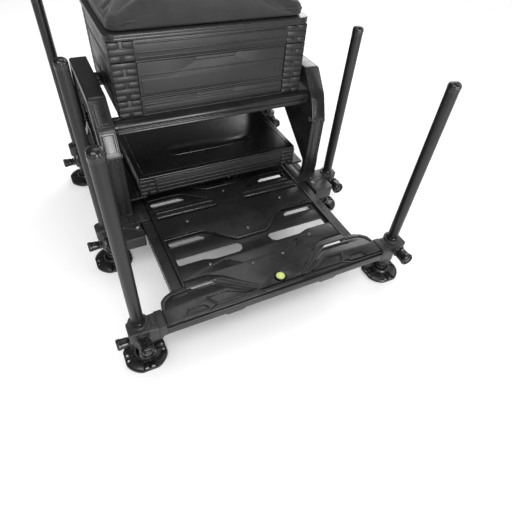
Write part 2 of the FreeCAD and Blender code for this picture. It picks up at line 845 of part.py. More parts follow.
def upper_rails():
    """Front and rear cross rails under the stack."""
    out = []
    for y in (xrail_y, 2 * mid_y - xrail_y):
        pts = []
        for dy, dz in ((-1, -1), (1, -1), (1, 1), (-1, 1)):
            pts.append((-side_x0, y + dy * xrail_w / 2, rail_top - xrail_h / 2 + dz * xrail_h / 2))
        body = prism(pts, (2 * side_x0, 0, 0), xrail_round)
        out.append(body.cut(block(-side_x0, side_x0, y - xrail_bore_w / 2, y + xrail_bore_w / 2,
                                  rail_top - xrail_h / 2 - xrail_bore_h / 2,
                                  rail_top - xrail_h / 2 + xrail_bore_h / 2)))
    return Part.makeCompound(out)


def case_runners():
    """Two ledges on the side frames that the low case slides on, each with a guide beside the case."""
    top = case_z0 - run_gap
    out = []
    for side in (-1, 1):
        a, b = sorted((side * (case_x - runner_in), side * side_x0))
        ledge = block(a, b, case_y0 - 1, side_rear - runner_end, top - runner_t, top)
        c, d = sorted((side * (case_x + guide_in), side * (case_x + guide_in + guide_t)))
        out.append(joined([ledge, block(c, d, case_y0 + guide_start, case_y1, top, case_z0 + guide_h)]))
    return Part.makeCompound(out)


def corner_blocks(x, y0, y1, z0, z1, width, depth, rows):
    """Grooved corner mouldings of a tray unit, at its four upright corners."""
    out = []
    pitch = (z1 - z0) / rows
    half = block_groove_w / 2
    for side in (-1, 1):
        for ya, yb in ((y0 - block_proud, y0 + depth), (y1 - depth, y1)):
            a, b = sorted((side * (x - width), side * x))
            body = block(a, b, ya, yb, z0, z1)
            for i in range(1, rows):
                z = z0 + i * pitch
                front = block(a + block_groove_in, b - block_groove_in, ya - 1, ya + groove_d,
                              z - half, z + half)
                out_x = b if side > 0 else a
                flank = block(out_x - groove_d, out_x + groove_d, ya + block_groove_in / 2,
                              yb - block_groove_in / 2, z - half, z + half)
                body = body.cut([front, flank])
            out.append(body)
    return out


def face_grooves(half, y, rows):
    """Cutters for level grooves across a front face, at heights given."""
    return [block(-half, half, y - 1, y + face_groove_d, z, z + face_groove_w) for z in rows]


def case_tray():
    """Low case: open tray with grooved corner mouldings and a ribbed front."""
    z0, z1 = case_z0, case_z0 + case_h
    body = block(-case_x, case_x, case_y0, case_y1, z0, z1)
    body = joined([body] + corner_blocks(case_x, case_y0, case_y1, z0, z1, block_w, block_d, 4))
    w = case_wall
    inside = block(-case_x + w, case_x - w, case_y0 + w, case_y1 - w, z0 + w, z1 + 1)
    grooves = face_grooves(case_x - block_w - face_groove_in, case_y0, (z0 + case_h / 4, z0 + case_h / 2))
    return body.cut([inside] + grooves).removeSplitter()


def case_lid():
    """Lid of the low case with a lip inside the tray and a plain raised field."""
    x, y0, y1 = case_x, case_y0, case_y1
    z0 = case_z0 + case_h
    z1 = z0 + case_lid_h
    top = plan([(-x, y0), (x, y0), (x, y1), (-x, y1)], z0, z1, lid_round)
    w = case_wall + plug_fit
    inner = w + lip_t
    lip = block(-x + w, x - w, y0 + w, y1 - w, z0 - lip_h, z0)
    lip = lip.cut(block(-x + inner, x - inner, y0 + inner, y1 - inner, z0 - lip_h, z0))
    near, far = y0 + field_y, y0 + field_y + field_d
    half = field_w / 2
    cut = lid_round
    field = plan(both_sides([(0, near), (half - cut, near), (half, near + cut), (half, far - cut),
                             (half - cut, far), (0, far)]), z1, z1 + field_h)
    return joined([top, lip, field])


def drawer_unit(z0, height):
    """Housing of one drawer: walls, grooved corner mouldings, open at the front."""
    z1 = z0 + height
    w = unit_wall
    body = block(-stack_x, stack_x, stack_y0, stack_y1, z0, z1)
    rows = max(3, int(round(height / block_pitch)))
    body = joined([body] + corner_blocks(stack_x, stack_y0, stack_y1, z0, z1, unit_block_w,
                                         unit_block_d, rows))
    mouth = stack_x - unit_block_w
    bay = block(-mouth, mouth, stack_y0 - block_proud - 1, stack_y1 - w, z0 + w, z1 - w)
    return body.cut(bay).removeSplitter()


def drawer(z0, height):
    """Open drawer with a ribbed front and a finger recess under its top edge."""
    x = stack_x - unit_block_w - drawer_fit
    y0, y1 = stack_y0, stack_y1 - unit_wall - drawer_back
    low, high = z0 + unit_wall + run_gap, z0 + height - unit_wall - drawer_fit
    w = drawer_wall
    body = block(-x, x, y0, y1, low, high)
    body = body.cut(block(-x + w, x - w, y0 + 2 * w, y1 - w, low + w, high + 1))
    count = max(1, int((high - low - drawer_plain) / drawer_pitch))
    rows = [low + drawer_pitch * (i + 0.5) for i in range(count)]
    pull = block(-pull_w / 2, pull_w / 2, y0 - 1, y0 + pull_d, high - pull_h, high + 1)
    return body.cut(face_grooves(x - 2 * face_groove_in, y0, rows) + [pull]).removeSplitter()


def knuckle(x0, x1, y, z, arm):
    """One eight-sided hinge knuckle along X with a strap to the piece that carries it."""
    barrel = faceted([(hinge_r, 0), (hinge_r, x1 - x0)], hinge_sides)
    barrel.rotate(V(0, 0, 0), V(0, 1, 0), 90)
    barrel.translate(V(x0, y, z))
    return barrel.fuse(arm)


def hinge_axis():
    """Height and depth of the seat hinge."""
    return stack_y1 + hinge_r + hinge_out, stack_top + seat_gap / 2.0


def hinge_bore(y, z):
    """Cutter for the pin through both hinges."""
    return rod(hinge_pin_r + hinge_fit, (-hinge_x - hinge_w, y, z), (1, 0, 0), 2 * (hinge_x + hinge_w))


def top_tray():
    """Top tray, open above, with its share of the hinge knuckles."""
    z0, z1 = top_z0, stack_top
    w = unit_wall
    body = block(-stack_x, stack_x, stack_y0, stack_y1, z0, z1)
    body = joined([body] + corner_blocks(stack_x, stack_y0, stack_y1, z0, z1, unit_block_w,
                                         unit_block_d, 3))
    body = body.cut(block(-stack_x + w, stack_x - w, stack_y0 + w, stack_y1 - w, z0 + w, z1 + 1))
    y, z = hinge_axis()
    for side in (-1, 1):
        a, b = side * hinge_x - hinge_w / 2, side * hinge_x - run_gap / 2
        strap = block(a, b, stack_y1 - 1, y, z - hinge_strap, z - hinge_lift)
        body = body.fuse(knuckle(a, b, y, z, strap))
    return body.cut(hinge_bore(y, z)).removeSplitter()


def soft_outline(x, y0, y1, r, z):
    """Level outline of a seat panel or pad, its corners rounded in short straights."""
    pts = []
    corners = ((x - r, y1 - r), (-x + r, y1 - r), (-x + r, y0 + r), (x - r, y0 + r))
    for turn, (cx, cy) in enumerate(corners):
        for i in range(seat_corner_steps + 1):
            a = math.radians(90.0 * (turn + i / seat_corner_steps))
            pts.append(V(cx + r * math.cos(a), cy + r * math.sin(a), z))
    return Part.makePolygon(pts + [pts[0]])


def seat_base():
    """Moulded seat lid: rounded panel with a rim below and its hinge knuckles."""
    z0 = stack_top + seat_gap
    x = stack_x + seat_over
    y0, y1 = stack_y0 - seat_over - block_proud, stack_y1 + seat_back
    w = seat_rim
    body = Part.Face(soft_outline(x, y0, y1, seat_round, z0)).extrude(V(0, 0, seat_t))
    hollow = Part.Face(soft_outline(x - w, y0 + w, y1 - w, seat_round - w, z0 - 1))
    body = body.cut(hollow.extrude(V(0, 0, seat_t - seat_panel + 1)))
    y, z = hinge_axis()
    for side in (-1, 1):
        a, b = side * hinge_x + run_gap / 2, side * hinge_x + hinge_w / 2
        strap = block(a, b, y1 - w / 2, y, z + hinge_lift, z + hinge_strap)
        body = body.fuse(knuckle(a, b, y, z, strap))
    return body.cut(hinge_bore(y, z)).removeSplitter()


def seat_hinge_pins():
    """Two pins through the seat hinge knuckles."""
    y, z = hinge_axis()
    return Part.makeCompound([rod(hinge_pin_r, (side * hinge_x - hinge_w / 2 - 1, y, z), (1, 0, 0),
                                  hinge_w + 2) for side in (-1, 1)])


def pad_ring(grow, z):
    """Cushion outline at one height, grown or drawn in."""
    x = stack_x + seat_over - pad_in + grow
    y0 = stack_y0 - seat_over + pad_in - grow - block_proud
    y1 = stack_y1 - pad_in + grow
    r = seat_round - pad_in + grow if grow > -pad_in else seat_round - pad_in
    return soft_outline(x, y0, y1, r, z)


def seat_cushion():
    """Crowned cushion with drawn-in sides and two sewn channels across."""
    z0 = stack_top + seat_gap + seat_t + run_gap
    body = Part.makeLoft([pad_ring(grow, z0 + up * pad_h) for grow, up in pad_profile], True, True)
    for y in (stack_y0 + channel_in, stack_y1 - channel_in):
        channel = faceted([(channel_r, 0), (channel_r, 4 * stack_x)], channel_sides)
        channel.rotate(V(0, 0, 0), V(0, 1, 0), 90)
        channel.translate(V(-2 * stack_x, y, z0 + pad_h + channel_up))
        body = body.cut(channel)
    return body


def frame_bolts():
    """Hexagon bolt heads where side frames and castings are fastened down."""
    out = []
    for side in (-1, 1):
        for y in (side_front + bolt_in, side_rear - bolt_in):
            bolt = faceted([(bolt_r, 0), (bolt_r, bolt_h)], 6)
            bolt.rotate(V(0, 0, 0), V(0, 1, 0), -90 * side)
            bolt.translate(V(side * side_x0, y, knee_z - bolt_r))
            out.append(bolt)
        out.append(faceted([(bolt_r, deck_z), (bolt_r, deck_z + bolt_h)], 6,
                           (side * (chan_x0 + chan_w / 2), mid_block_y0 + mid_bolt_in, 0)))
    return Part.makeCompound(out)


def write_sides(name, shape):
    """Write a right-hand piece and its mirror image."""
    save(name + "_right", shape)
    save(name + "_left", mirrored(shape))


def write_pair(name, shape):
    """Write a right-hand piece and its mirror image as one node of two solids."""
    save(name, Part.makeCompound([shape, mirrored(shape)]))


def write_legs():
    """Six legs with their fittings, feet and knobs."""
    pieces = {"leg_tube": leg_tube(), "leg_fittings": leg_fittings(), "foot": foot(),
              "leg_knob": leg_knob(), "arm_knob": arm_knob()}
    for row, y in leg_rows.items():
        for name, shape in pieces.items():
            moved = shape.copy()
            moved.translate(V(leg_x, y, 0))
            write_sides("%s_%s" % (name, row), moved)


write_legs()
save("front_bar", front_bar())
write_pair("front_castings", front_casting())
write_sides("footplate_rail", footplate_rail())
save("footplate_tread", footplate_tread())
save("footplate_button", footplate_button())
save("footplate_screws", footplate_screws())
write_sides("base_channel", base_channel())
save("cross_tubes", cross_tubes())
write_pair("mid_castings", mid_casting())
write_pair("rear_castings", rear_casting())
write_sides("side_frame", side_frame())
save("upper_rails", upper_rails())
save("case_runners", case_runners())
save("case_tray", case_tray())
save("case_lid", case_lid())
save("low_drawer_unit", drawer_unit(stack_z0, unit_low_h))
save("low_drawer", drawer(stack_z0, unit_low_h))
save("deep_drawer_unit", drawer_unit(deep_z0, unit_deep_h))
save("deep_drawer", drawer(deep_z0, unit_deep_h))
save("top_tray", top_tray())
save("seat_base", seat_base())
save("seat_hinge_pins", seat_hinge_pins())
save("seat_cushion", seat_cushion())
save("frame_bolts", frame_bolts())
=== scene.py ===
import json
import math

import bmesh
import bpy
from mathutils import Matrix, Vector
from mathutils.bvhtree import BVHTree


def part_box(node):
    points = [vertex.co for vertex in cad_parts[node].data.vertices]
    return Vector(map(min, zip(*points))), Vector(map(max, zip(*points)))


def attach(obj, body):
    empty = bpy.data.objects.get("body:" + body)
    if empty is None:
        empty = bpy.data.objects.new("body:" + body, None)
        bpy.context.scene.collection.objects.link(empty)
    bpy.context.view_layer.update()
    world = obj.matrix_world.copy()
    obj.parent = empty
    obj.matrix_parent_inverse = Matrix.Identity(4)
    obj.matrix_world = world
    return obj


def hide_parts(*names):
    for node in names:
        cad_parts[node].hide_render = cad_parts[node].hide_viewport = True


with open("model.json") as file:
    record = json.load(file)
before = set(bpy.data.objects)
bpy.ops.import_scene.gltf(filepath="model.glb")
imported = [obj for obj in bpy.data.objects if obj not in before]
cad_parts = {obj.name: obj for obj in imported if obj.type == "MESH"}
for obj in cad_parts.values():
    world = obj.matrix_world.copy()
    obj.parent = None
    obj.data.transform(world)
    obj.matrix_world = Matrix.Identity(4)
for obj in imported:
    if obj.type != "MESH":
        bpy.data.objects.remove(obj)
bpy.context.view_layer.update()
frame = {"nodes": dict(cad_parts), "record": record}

NODES = frame["nodes"]
SLOT_OF = {p["node"]: p["material_slot"] for p in frame["record"]["subparts"]}
ROWS = ("front", "mid", "rear")
MM = 0.001

# Camera of the photograph: place in metres, and its right, down and forward directions
CAM_PLACE = (-0.35203, -0.84185, 0.817)
CAM_RIGHT = (0.89883, -0.43386, 0.06224)
CAM_DOWN = (-0.27611, -0.67077, -0.68835)
CAM_AHEAD = (0.34039, 0.60153, -0.72270)
CAM_LENS = 29.03
CAM_SENSOR = 36.0

# Strength of the room for light on surfaces, for reflections and for the camera itself
ROOM_LEVELS = ((0.56, None), (0.11, "Is Glossy Ray"), (1.0, "Is Camera Ray"))
WHITE = (1, 1, 1, 1)
FLOOR_COLOUR = (0.93, 0.93, 0.94, 1)
FLOOR_GLOW = 0.13
FLOOR_HALF = 2.6


def add_object(name, data):
    """Object with the data, in the scene."""
    obj = bpy.data.objects.new(name, data)
    bpy.context.scene.collection.objects.link(obj)
    return obj


def feed(nt, node, inputs):
    """Inputs of a node by name or number, each a value or another node's output."""
    for name, value in inputs.items():
        if isinstance(value, bpy.types.NodeSocket):
            nt.links.new(value, node.inputs[name])
        else:
            node.inputs[name].default_value = value


def add_node(nt, kind, inputs):
    """New shader node with its inputs."""
    node = nt.nodes.new("ShaderNode" + kind)
    feed(nt, node, inputs)
    return node


def add_camera():
    """Camera at the photograph's place, square frame."""
    data = bpy.data.cameras.new("camera")
    data.lens = CAM_LENS
    data.sensor_width = CAM_SENSOR
    data.clip_start = 0.01
    cam = add_object("camera", data)
    right, up, back = Vector(CAM_RIGHT), -Vector(CAM_DOWN), -Vector(CAM_AHEAD)
    turn = Matrix((right, up, back)).transposed().to_4x4()
    cam.matrix_world = Matrix.Translation(CAM_PLACE) @ turn
    bpy.context.scene.camera = cam


def add_light(name, place, target, size, power, sheen_only=False):
    """Soft square lamp aimed at a point; one for sheen shows in reflections and lights no matt surface."""
    data = bpy.data.lights.new(name, "AREA")
    data.shape = "SQUARE"
    data.size = size
    data.energy = power
    lamp = add_object(name, data)
    lamp.location = place
    lamp.rotation_euler = (Vector(target) - Vector(place)).to_track_quat("-Z", "Y").to_euler()
    lamp.visible_diffuse = not sheen_only


def add_studio():
    """White floor that keeps the shadow, a dark room for reflections, and soft lamps."""
    world = bpy.data.worlds.new("studio")
    bpy.context.scene.world = world
    world.use_nodes = True
    nt = world.node_tree
    nt.nodes.clear()
    out = nt.nodes.new("ShaderNodeOutputWorld")
    path = nt.nodes.new("ShaderNodeLightPath")
    shown = None
    for level, ray in ROOM_LEVELS:
        ground = add_node(nt, "Background", {"Color": WHITE, "Strength": level}).outputs[0]
        if ray:
            mix = add_node(nt, "MixShader", {0: path.outputs[ray], 1: shown, 2: ground})
            shown = mix.outputs[0]
        else:
            shown = ground
    feed(nt, out, {"Surface": shown})
    add_light("key", (-1.3, -1.5, 2.6), (0, 0, 0.2), 1.5, 44)
    add_light("front", (0.2, -3.3, 0.9), (0, 0, 0.25), 1.5, 110, sheen_only=True)
    add_light("fill", (2.2, -0.6, 1.8), (0, 0, 0.2), 1.8, 20)
    add_light("back", (2.9, 2.9, 1.9), (0, 0, 0.2), 2.2, 62)
    add_light("top", (0.2, 0.9, 2.7), (0, 0, 0.1), 1.4, 13)
    mesh = bpy.data.meshes.new("floor")
    corners = rectangle(-FLOOR_HALF, FLOOR_HALF, -FLOOR_HALF, FLOOR_HALF)
    mesh.from_pydata([(x, y, 0) for x, y in corners], [], [(0, 1, 2, 3)])
    floor = add_object("floor", mesh)
    mat, nt, bsdf = plain_material("floor")
    feed(nt, bsdf, {"Base Color": FLOOR_COLOUR, "Roughness": 0.7, "Emission Color": WHITE,
                    "Emission Strength": FLOOR_GLOW})
    mesh.materials.append(mat)


# Radius in metres that shading gives to edges, and roughness of a clear coat
ROUND_EDGE = 0.0012
COAT_ROUGH = 0.26

# Degrees past which an edge is sharp: on CAD nodes, on this script's pieces and on the cushion
SHARP_NODE = 35.0
SHARP_PIECE = 38.0
SHARP_PAD = 80.0


def plain_material(name):
    """New material with its tree and shader."""
    mat = bpy.data.materials.new(name)
    mat.use_nodes = True
    return mat, mat.node_tree, mat.node_tree.nodes["Principled BSDF"]


def noise_at(nt, coords, scale, detail=3.0, rough=0.55, stretch=None):
    """Noise at a number of waves per metre, stretched along an axis if asked."""
    if stretch:
        coords = add_node(nt, "Mapping", {"Scale": stretch, "Vector": coords}).outputs["Vector"]
    inputs = {"Scale": scale, "Detail": detail, "Roughness": rough, "Vector": coords}
    return add_node(nt, "TexNoise", inputs).outputs["Fac"]


def between(nt, value, low, high, out_low, out_high):
    """Map a value from one range to another."""
    inputs = {"Value": value, "From Min": low, "From Max": high, "To Min": out_low, "To Max": out_high}
    return add_node(nt, "MapRange", inputs).outputs["Result"]


def blend_colours(nt, fac, first, second):
    """Mix of two colours by a value."""
    node = nt.nodes.new("ShaderNodeMix")
    node.data_type = "RGBA"
    first, second = ((*c, 1) if isinstance(c, tuple) else c for c in (first, second))
    feed(nt, node, {"Factor": fac, 6: first, 7: second})
    return node.outputs[2]


def bump(nt, bsdf, height, strength, depth, edge=0.0):
    """Bump on the shader from a height value, over edges rounded by a radius."""
    inputs = {"Strength": strength, "Distance": depth, "Height": height}
    if edge:
        bevel = add_node(nt, "Bevel", {"Radius": edge})
        bevel.samples = 6
        inputs["Normal"] = bevel.outputs["Normal"]
    feed(nt, bsdf, {"Normal": add_node(nt, "Bump", inputs).outputs["Normal"]})


def hard_finish(name, colour, rough, grain, grain_depth, spread=0.35, metal=0.0, coat=0.0, streak=None):
    """Moulded, painted or anodised surface: cloudy colour, fine grain and slight rub marks."""
    mat, nt, bsdf = plain_material(name)
    coords = nt.nodes.new("ShaderNodeTexCoord").outputs["Object"]
    shade = between(nt, noise_at(nt, coords, 14.0, 4.0), 0.3, 0.7, 0.0, 1.0)
    dark, light = (tuple(c * (1 + k) for c in colour) for k in (-spread, spread))
    worn = between(nt, noise_at(nt, coords, 60.0, 6.0, 0.7, streak or (1, 1, 1)), 0.60, 0.72, 0.0, 0.35)
    rubbed = tuple(min(1.0, c * 2.1 + 0.012) for c in colour)
    gloss = noise_at(nt, coords, 38.0, 5.0, 0.6, streak)
    feed(nt, bsdf, {"Base Color": blend_colours(nt, worn, blend_colours(nt, shade, dark, light), rubbed),
                    "Roughness": between(nt, gloss, 0.3, 0.7, rough * 0.85, rough * 1.18),
                    "Metallic": metal, "Coat Weight": coat, "Coat Roughness": COAT_ROUGH})
    bump(nt, bsdf, noise_at(nt, coords, grain), 0.6, grain_depth, ROUND_EDGE)
    return mat


def cushion_cloth(name):
    """Woven cover: two crossed threads, fuzzy sheen and a little fading."""
    mat, nt, bsdf = plain_material(name)
    coords = nt.nodes.new("ShaderNodeTexCoord").outputs["Object"]
    threads = {}
    for number, axis in enumerate("XY"):
        wave = add_node(nt, "TexWave", {"Scale": 420.0, "Distortion": 0.6, "Detail": 1.0, "Vector": coords})
        wave.bands_direction = axis
        threads[number] = wave.outputs["Fac"]
    weave = add_node(nt, "Math", threads)
    weave.operation = "MAXIMUM"
    height = weave.outputs["Value"]
    cloud = between(nt, noise_at(nt, coords, 18.0, 4.0), 0.3, 0.7, 0.0, 1.0)
    ground = blend_colours(nt, cloud, (0.020, 0.020, 0.022), (0.034, 0.034, 0.036))
    feed(nt, bsdf, {"Base Color": blend_colours(nt, height, (0.012, 0.012, 0.013), ground),
                    "Roughness": 0.82, "Sheen Weight": 0.35, "Sheen Roughness": 0.4})
    bump(nt, bsdf, height, 0.5, 0.0004)
    return mat


# Hard finishes: colour, roughness, grain in waves per metre, depth of the grain in metres, and the rest
FINISHES = {
    "tube_coat": ((0.007, 0.007, 0.008), 0.36, 1500.0, 0.00012, {}),
    "gloss_black": ((0.006, 0.006, 0.007), 0.30, 900.0, 0.000005, {"coat": 0.3}),
    "foot_nylon": ((0.009, 0.009, 0.010), 0.32, 1100.0, 0.0001, {}),
    "knob_nylon": ((0.009, 0.009, 0.010), 0.26, 1100.0, 0.00008, {}),
    "casting_paint": ((0.021, 0.021, 0.022), 0.42, 1700.0, 0.0002, {}),
    "anodised_bar": ((0.028, 0.028, 0.030), 0.28, 1500.0, 0.00008, {"metal": 0.35, "streak": (0.1, 1, 1)}),
    "tread_plastic": ((0.013, 0.013, 0.014), 0.30, 1300.0, 0.0001, {}),
    "lime_plastic": ((0.60, 0.69, 0.22), 0.35, 900.0, 0.00005, {"spread": 0.08}),
    "dark_steel": ((0.22, 0.22, 0.23), 0.30, 900.0, 0.00005, {"metal": 1.0}),
    "frame_plastic": ((0.015, 0.015, 0.016), 0.30, 1300.0, 0.0001, {}),
    "tray_plastic": ((0.009, 0.009, 0.010), 0.40, 1300.0, 0.00012, {}),
}


def make_materials():
    """Every finish by the record's slot name."""
    finishes = {name: hard_finish(name, *row, **rest) for name, (*row, rest) in FINISHES.items()}
    finishes["cushion_cover"] = cushion_cloth("cushion_cover")
    return finishes


def finish_mesh(obj, mat, sharp):
    """One material, smooth faces and sharp edges past an angle."""
    mesh = obj.data
    mesh.materials.clear()
    mesh.materials.append(mat)
    mesh.shade_smooth()
    mesh.set_sharp_from_angle(angle=math.radians(sharp))


def dress_nodes():
    """Finish on every CAD node that stays."""
    for node, obj in NODES.items():
        finish_mesh(obj, MATERIALS[SLOT_OF[node]], SHARP_NODE)


FRONT_Y = (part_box("leg_tube_front_right")[0][1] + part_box("leg_tube_front_right")[1][1]) / 2
TO_FRAME = Matrix.Translation((0, FRONT_Y, 0)) @ Matrix.Scale(MM, 4)
ROUND = 64

# Millimetres within which points are joined
WELD = 0.002


def node_box(node):
    """Lowest and highest corner of a node in millimetres, Y from the front leg row."""
    low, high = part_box(node)
    shift = Vector((0, FRONT_Y, 0))
    return (Vector(low) - shift) / MM, (Vector(high) - shift) / MM


def extent(node):
    """Greatest X, both Y and both Z of a node in millimetres."""
    low, high = node_box(node)
    return high.x, low.y, high.y, low.z, high.z


def middle(node):
    """Centre of a node in millimetres."""
    low, high = node_box(node)
    return (low + high) / 2


def depth_in_frame(y):
    """Y of the frame, in metres, for a millimetre Y from the front leg row."""
    return (TO_FRAME @ Vector((0, y, 0))).y


def at(x, y, z=0.0):
    """Matrix of a shift."""
    return Matrix.Translation((x, y, z))


def turned_to(direction, place):
    """Matrix that stands a form drawn along +Z along another direction, at a place."""
    turn = Vector((0, 0, 1)).rotation_difference(Vector(direction)).to_matrix().to_4x4()
    return Matrix.Translation(place) @ turn


def moved(bm, matrix):
    """The form after a matrix, with its faces still outward."""
    bmesh.ops.transform(bm, matrix=matrix, verts=bm.verts)
    if matrix.determinant() < 0:
        bmesh.ops.reverse_faces(bm, faces=bm.faces)
    return bm


def mirrored(bm):
    """Copy of a form on the other side of the centre plane."""
    return moved(bm.copy(), Matrix.Scale(-1, 4, (1, 0, 0)))


def both(forms):
    """Forms and their mirror images."""
    return forms + [mirrored(bm) for bm in forms]


def piece(name, forms, slot, body, *nodes, place=Matrix()):
    """Object out of forms in millimetres, put at a place, on a body, standing for nodes."""
    whole = bmesh.new()
    for bm in forms:
        part = bpy.data.meshes.new("part")
        moved(bm, place).to_mesh(part)
        bm.free()
        whole.from_mesh(part)
        bpy.data.meshes.remove(part)
    mesh = bpy.data.meshes.new(name)
    moved(whole, TO_FRAME).to_mesh(mesh)
    whole.free()
    obj = add_object(name, mesh)
    finish_mesh(obj, MATERIALS[slot], SHARP_PIECE)
    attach(obj, body)
    if nodes:
        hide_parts(*nodes)


def rounded(points, r, steps=4):
    """Closed outline with its corners rounded."""
    out = []
    n = len(points)
    for i in range(n):
        p, q, s = (Vector(points[j % n][:2]) for j in (i - 1, i, i + 1))
        a, b = p - q, s - q
        back = min(r, 0.45 * a.length, 0.45 * b.length)
        start, stop = q + a.normalized() * back, q + b.normalized() * back
        for k in range(steps + 1):
            t = k / steps
            out.append(tuple((1 - t) ** 2 * start + 2 * t * (1 - t) * q + t * t * stop))
    return out


def rectangle(x0, x1, y0, y1):
    """Outline of a rectangle."""
    return [(x0, y0), (x1, y0), (x1, y1), (x0, y1)]


def over(points):
    """Right half of an outline closed over to the left."""
    return points + [(-x, y) for x, y in reversed(points) if x > 0]


def plate(outline, z0, z1, edge=0.8, holes=(), steps=2):
    """Flat moulded plate with rounded rims between two heights, with holes."""
    data = bpy.data.curves.new("plate", "CURVE")
    data.dimensions = "2D"
    data.fill_mode = "BOTH"
    data.extrude = (z1 - z0) / 2 - edge
    data.bevel_depth = edge
    data.bevel_resolution = steps
    data.offset = -edge
    for loop in (outline, *holes):
        spline = data.splines.new("POLY")
        spline.points.add(len(loop) - 1)
        for point, (x, y) in zip(spline.points, loop):
            point.co = (x, y, 0, 1)
        spline.use_cyclic_u = True
    obj = bpy.data.objects.new("plate", data)
    mesh = bpy.data.meshes.new_from_object(obj)
    bm = bmesh.new()
    bm.from_mesh(mesh)
    bpy.data.objects.remove(obj)
    bpy.data.curves.remove(data)
    bpy.data.meshes.remove(mesh)
    return moved(welded(bm), at(0, 0, (z0 + z1) / 2))


def welded(bm):
    """The form with its doubled points joined and its faces turned outward."""
    bmesh.ops.remove_doubles(bm, verts=bm.verts, dist=WELD)
    bmesh.ops.recalc_face_normals(bm, faces=bm.faces)
    return bm


def upright(outline, x0, x1, **rest):
    """Plate drawn in Y and Z, from one X to another."""
    axes = Matrix(((0, 0, 1, 0), (1, 0, 0, 0), (0, 1, 0, 0), (0, 0, 0, 1)))
    return moved(plate(outline, x0, x1, **rest), axes)


def facing(outline, y0, y1, **rest):
    """Plate drawn in X and Z, from one Y to another."""
    axes = Matrix(((1, 0, 0, 0), (0, 0, -1, 0), (0, 1, 0, 0), (0, 0, 0, 1)))
    return moved(plate(outline, -y1, -y0, **rest), axes)


def soft_block(x0, x1, y0, y1, z0, z1, edge=1.0, steps=2):
    """Block with all its edges rounded; each pair of ends may come in either order."""
    bm = bmesh.new()
    bmesh.ops.create_cube(bm, size=1.0)
    sides = abs(x1 - x0), abs(y1 - y0), abs(z1 - z0)
    moved(bm, at((x0 + x1) / 2, (y0 + y1) / 2, (z0 + z1) / 2) @ Matrix.Diagonal((*sides, 1)))
    edge = min(edge, 0.45 * min(sides))
    bmesh.ops.bevel(bm, geom=list(bm.edges), offset=edge, segments=steps, profile=0.5, affect="EDGES")
    return bm


def joined_rings(bm, rings, around, along):
    """Faces between rings of points; around closes each ring, and along closes their row."""
    n, count = len(rings[0]), len(rings)
    for i in range(count if along else count - 1):
        first, second = rings[i], rings[(i + 1) % count]
        for j in range(n if around else n - 1):
            k = (j + 1) % n
            bm.faces.new((first[j], second[j], second[k], first[k]))
    if not along:
        bm.faces.new(rings[0])
        bm.faces.new(rings[-1][::-1])
    bmesh.ops.recalc_face_normals(bm, faces=bm.faces)
    return bm


def swept(profile, start=0.0, stop=360.0, steps=ROUND, shape=None):
    """Profile of radius and height, turned about +Z; shape scales the radius by the angle."""
    full = stop - start >= 359.9
    bm = bmesh.new()
    rings = []
    for i in range(steps if full else steps + 1):
        a = math.radians(start + (stop - start) * i / steps)
        k = shape(a) if shape else 1.0
        rings.append([bm.verts.new((r * k * math.cos(a), r * k * math.sin(a), z)) for r, z in profile])
    return welded(joined_rings(bm, rings, not full, full))


def ringed(profile, **rest):
    """Closed profile turned all the way round, as a ring with a bore."""
    return swept(profile + profile[:1], **rest)


def stood(profile, direction, place, **rest):
    """Profile turned about an axis through a place, along a direction."""
    return moved(swept(profile, **rest), turned_to(direction, place))


def tube_along(points, r, closed, sides=10):
    """Round tube along a line of points."""
    bm = bmesh.new()
    n = len(points)
    rings = []
    for i, p in enumerate(points):
        a = points[i - 1] if closed or i else p
        b = points[(i + 1) % n] if closed or i < n - 1 else p
        along = (b - a).normalized()
        side = along.cross(Vector((0, 0, 1))).normalized()
        up = side.cross(along)
        rings.append([bm.verts.new(p + (side * math.cos(t) + up * math.sin(t)) * r)
                      for t in [2 * math.pi * k / sides for k in range(sides)]])
    return joined_rings(bm, rings, True, closed)


def arc_points(centre, r, a0, a1, steps):
    """Points on an arc, angles in degrees."""
    angles = [math.radians(a0 + (a1 - a0) * i / steps) for i in range(steps + 1)]
    return [(centre[0] + r * math.cos(a), centre[1] + r * math.sin(a)) for a in angles]


def legs():
    """Name, sign along X and centre of each leg."""
    names = [(f"{row}_{side}", sign) for row in ROWS for side, sign in (("left", -1), ("right", 1))]
    return [(name, sign, middle("leg_tube_" + name)) for name, sign in names]


# Millimetres: top of the footplate, half width of its tread, levels below the top, and wall of a bar
DECK = 120.0
TREAD_HALF = 210.0
SKIN_TOP = DECK - 2.8
FLOOR_TOP = DECK - 5.6
BAR_LOW = DECK - 30
BAR_WALL = 2.5


def tread_outline():
    """Right half of the tread: notched front edge, ears over the bar, straight side."""
    return [(0, -30), (44, -30), (62, -20), (158, -19), (180, -30), (268, -30), (269, 10), (265, 30),
            (254, 41), (236, 49), (TREAD_HALF, 50), (TREAD_HALF, 470), (0, 470)]


def tread_slots():
    """Through slots of the tread, right half."""
    rows = [[(112, y), (194, y), (198, y + 3), (198, y + 14), (122, y + 14), (109, y + 5)]
            for y in (179, 335)]
    rows.append([(50, 106), (113, 106), (138, 114), (194, 114), (198, 118), (198, 136), (44, 136), (36, 127),
                 (40, 113)])
    rows.append([(137, 37), (194, 37), (198, 46), (150, 46)])
    return [rounded(pts, 3.5) for pts in rows]


def deep_wells():
    """Sunk fields of the tread: one across the middle with its slots, and two at the rear."""
    side = TREAD_HALF - 6
    middle_field = [(0, 104), (46, 102), (116, 101), (142, 109), (side, 109), (side, 200), (106, 200),
                    (42, 145), (0, 145)]
    rear_field = [(side, 306), (60, 306), (48, 314), (104, 352), (116, 358), (side, 358)]
    grip = rectangle(38, side - 6, 274, 282)
    return [rounded(over(middle_field), 6)], [rounded(rear_field, 5), rounded(grip, 2.5)]


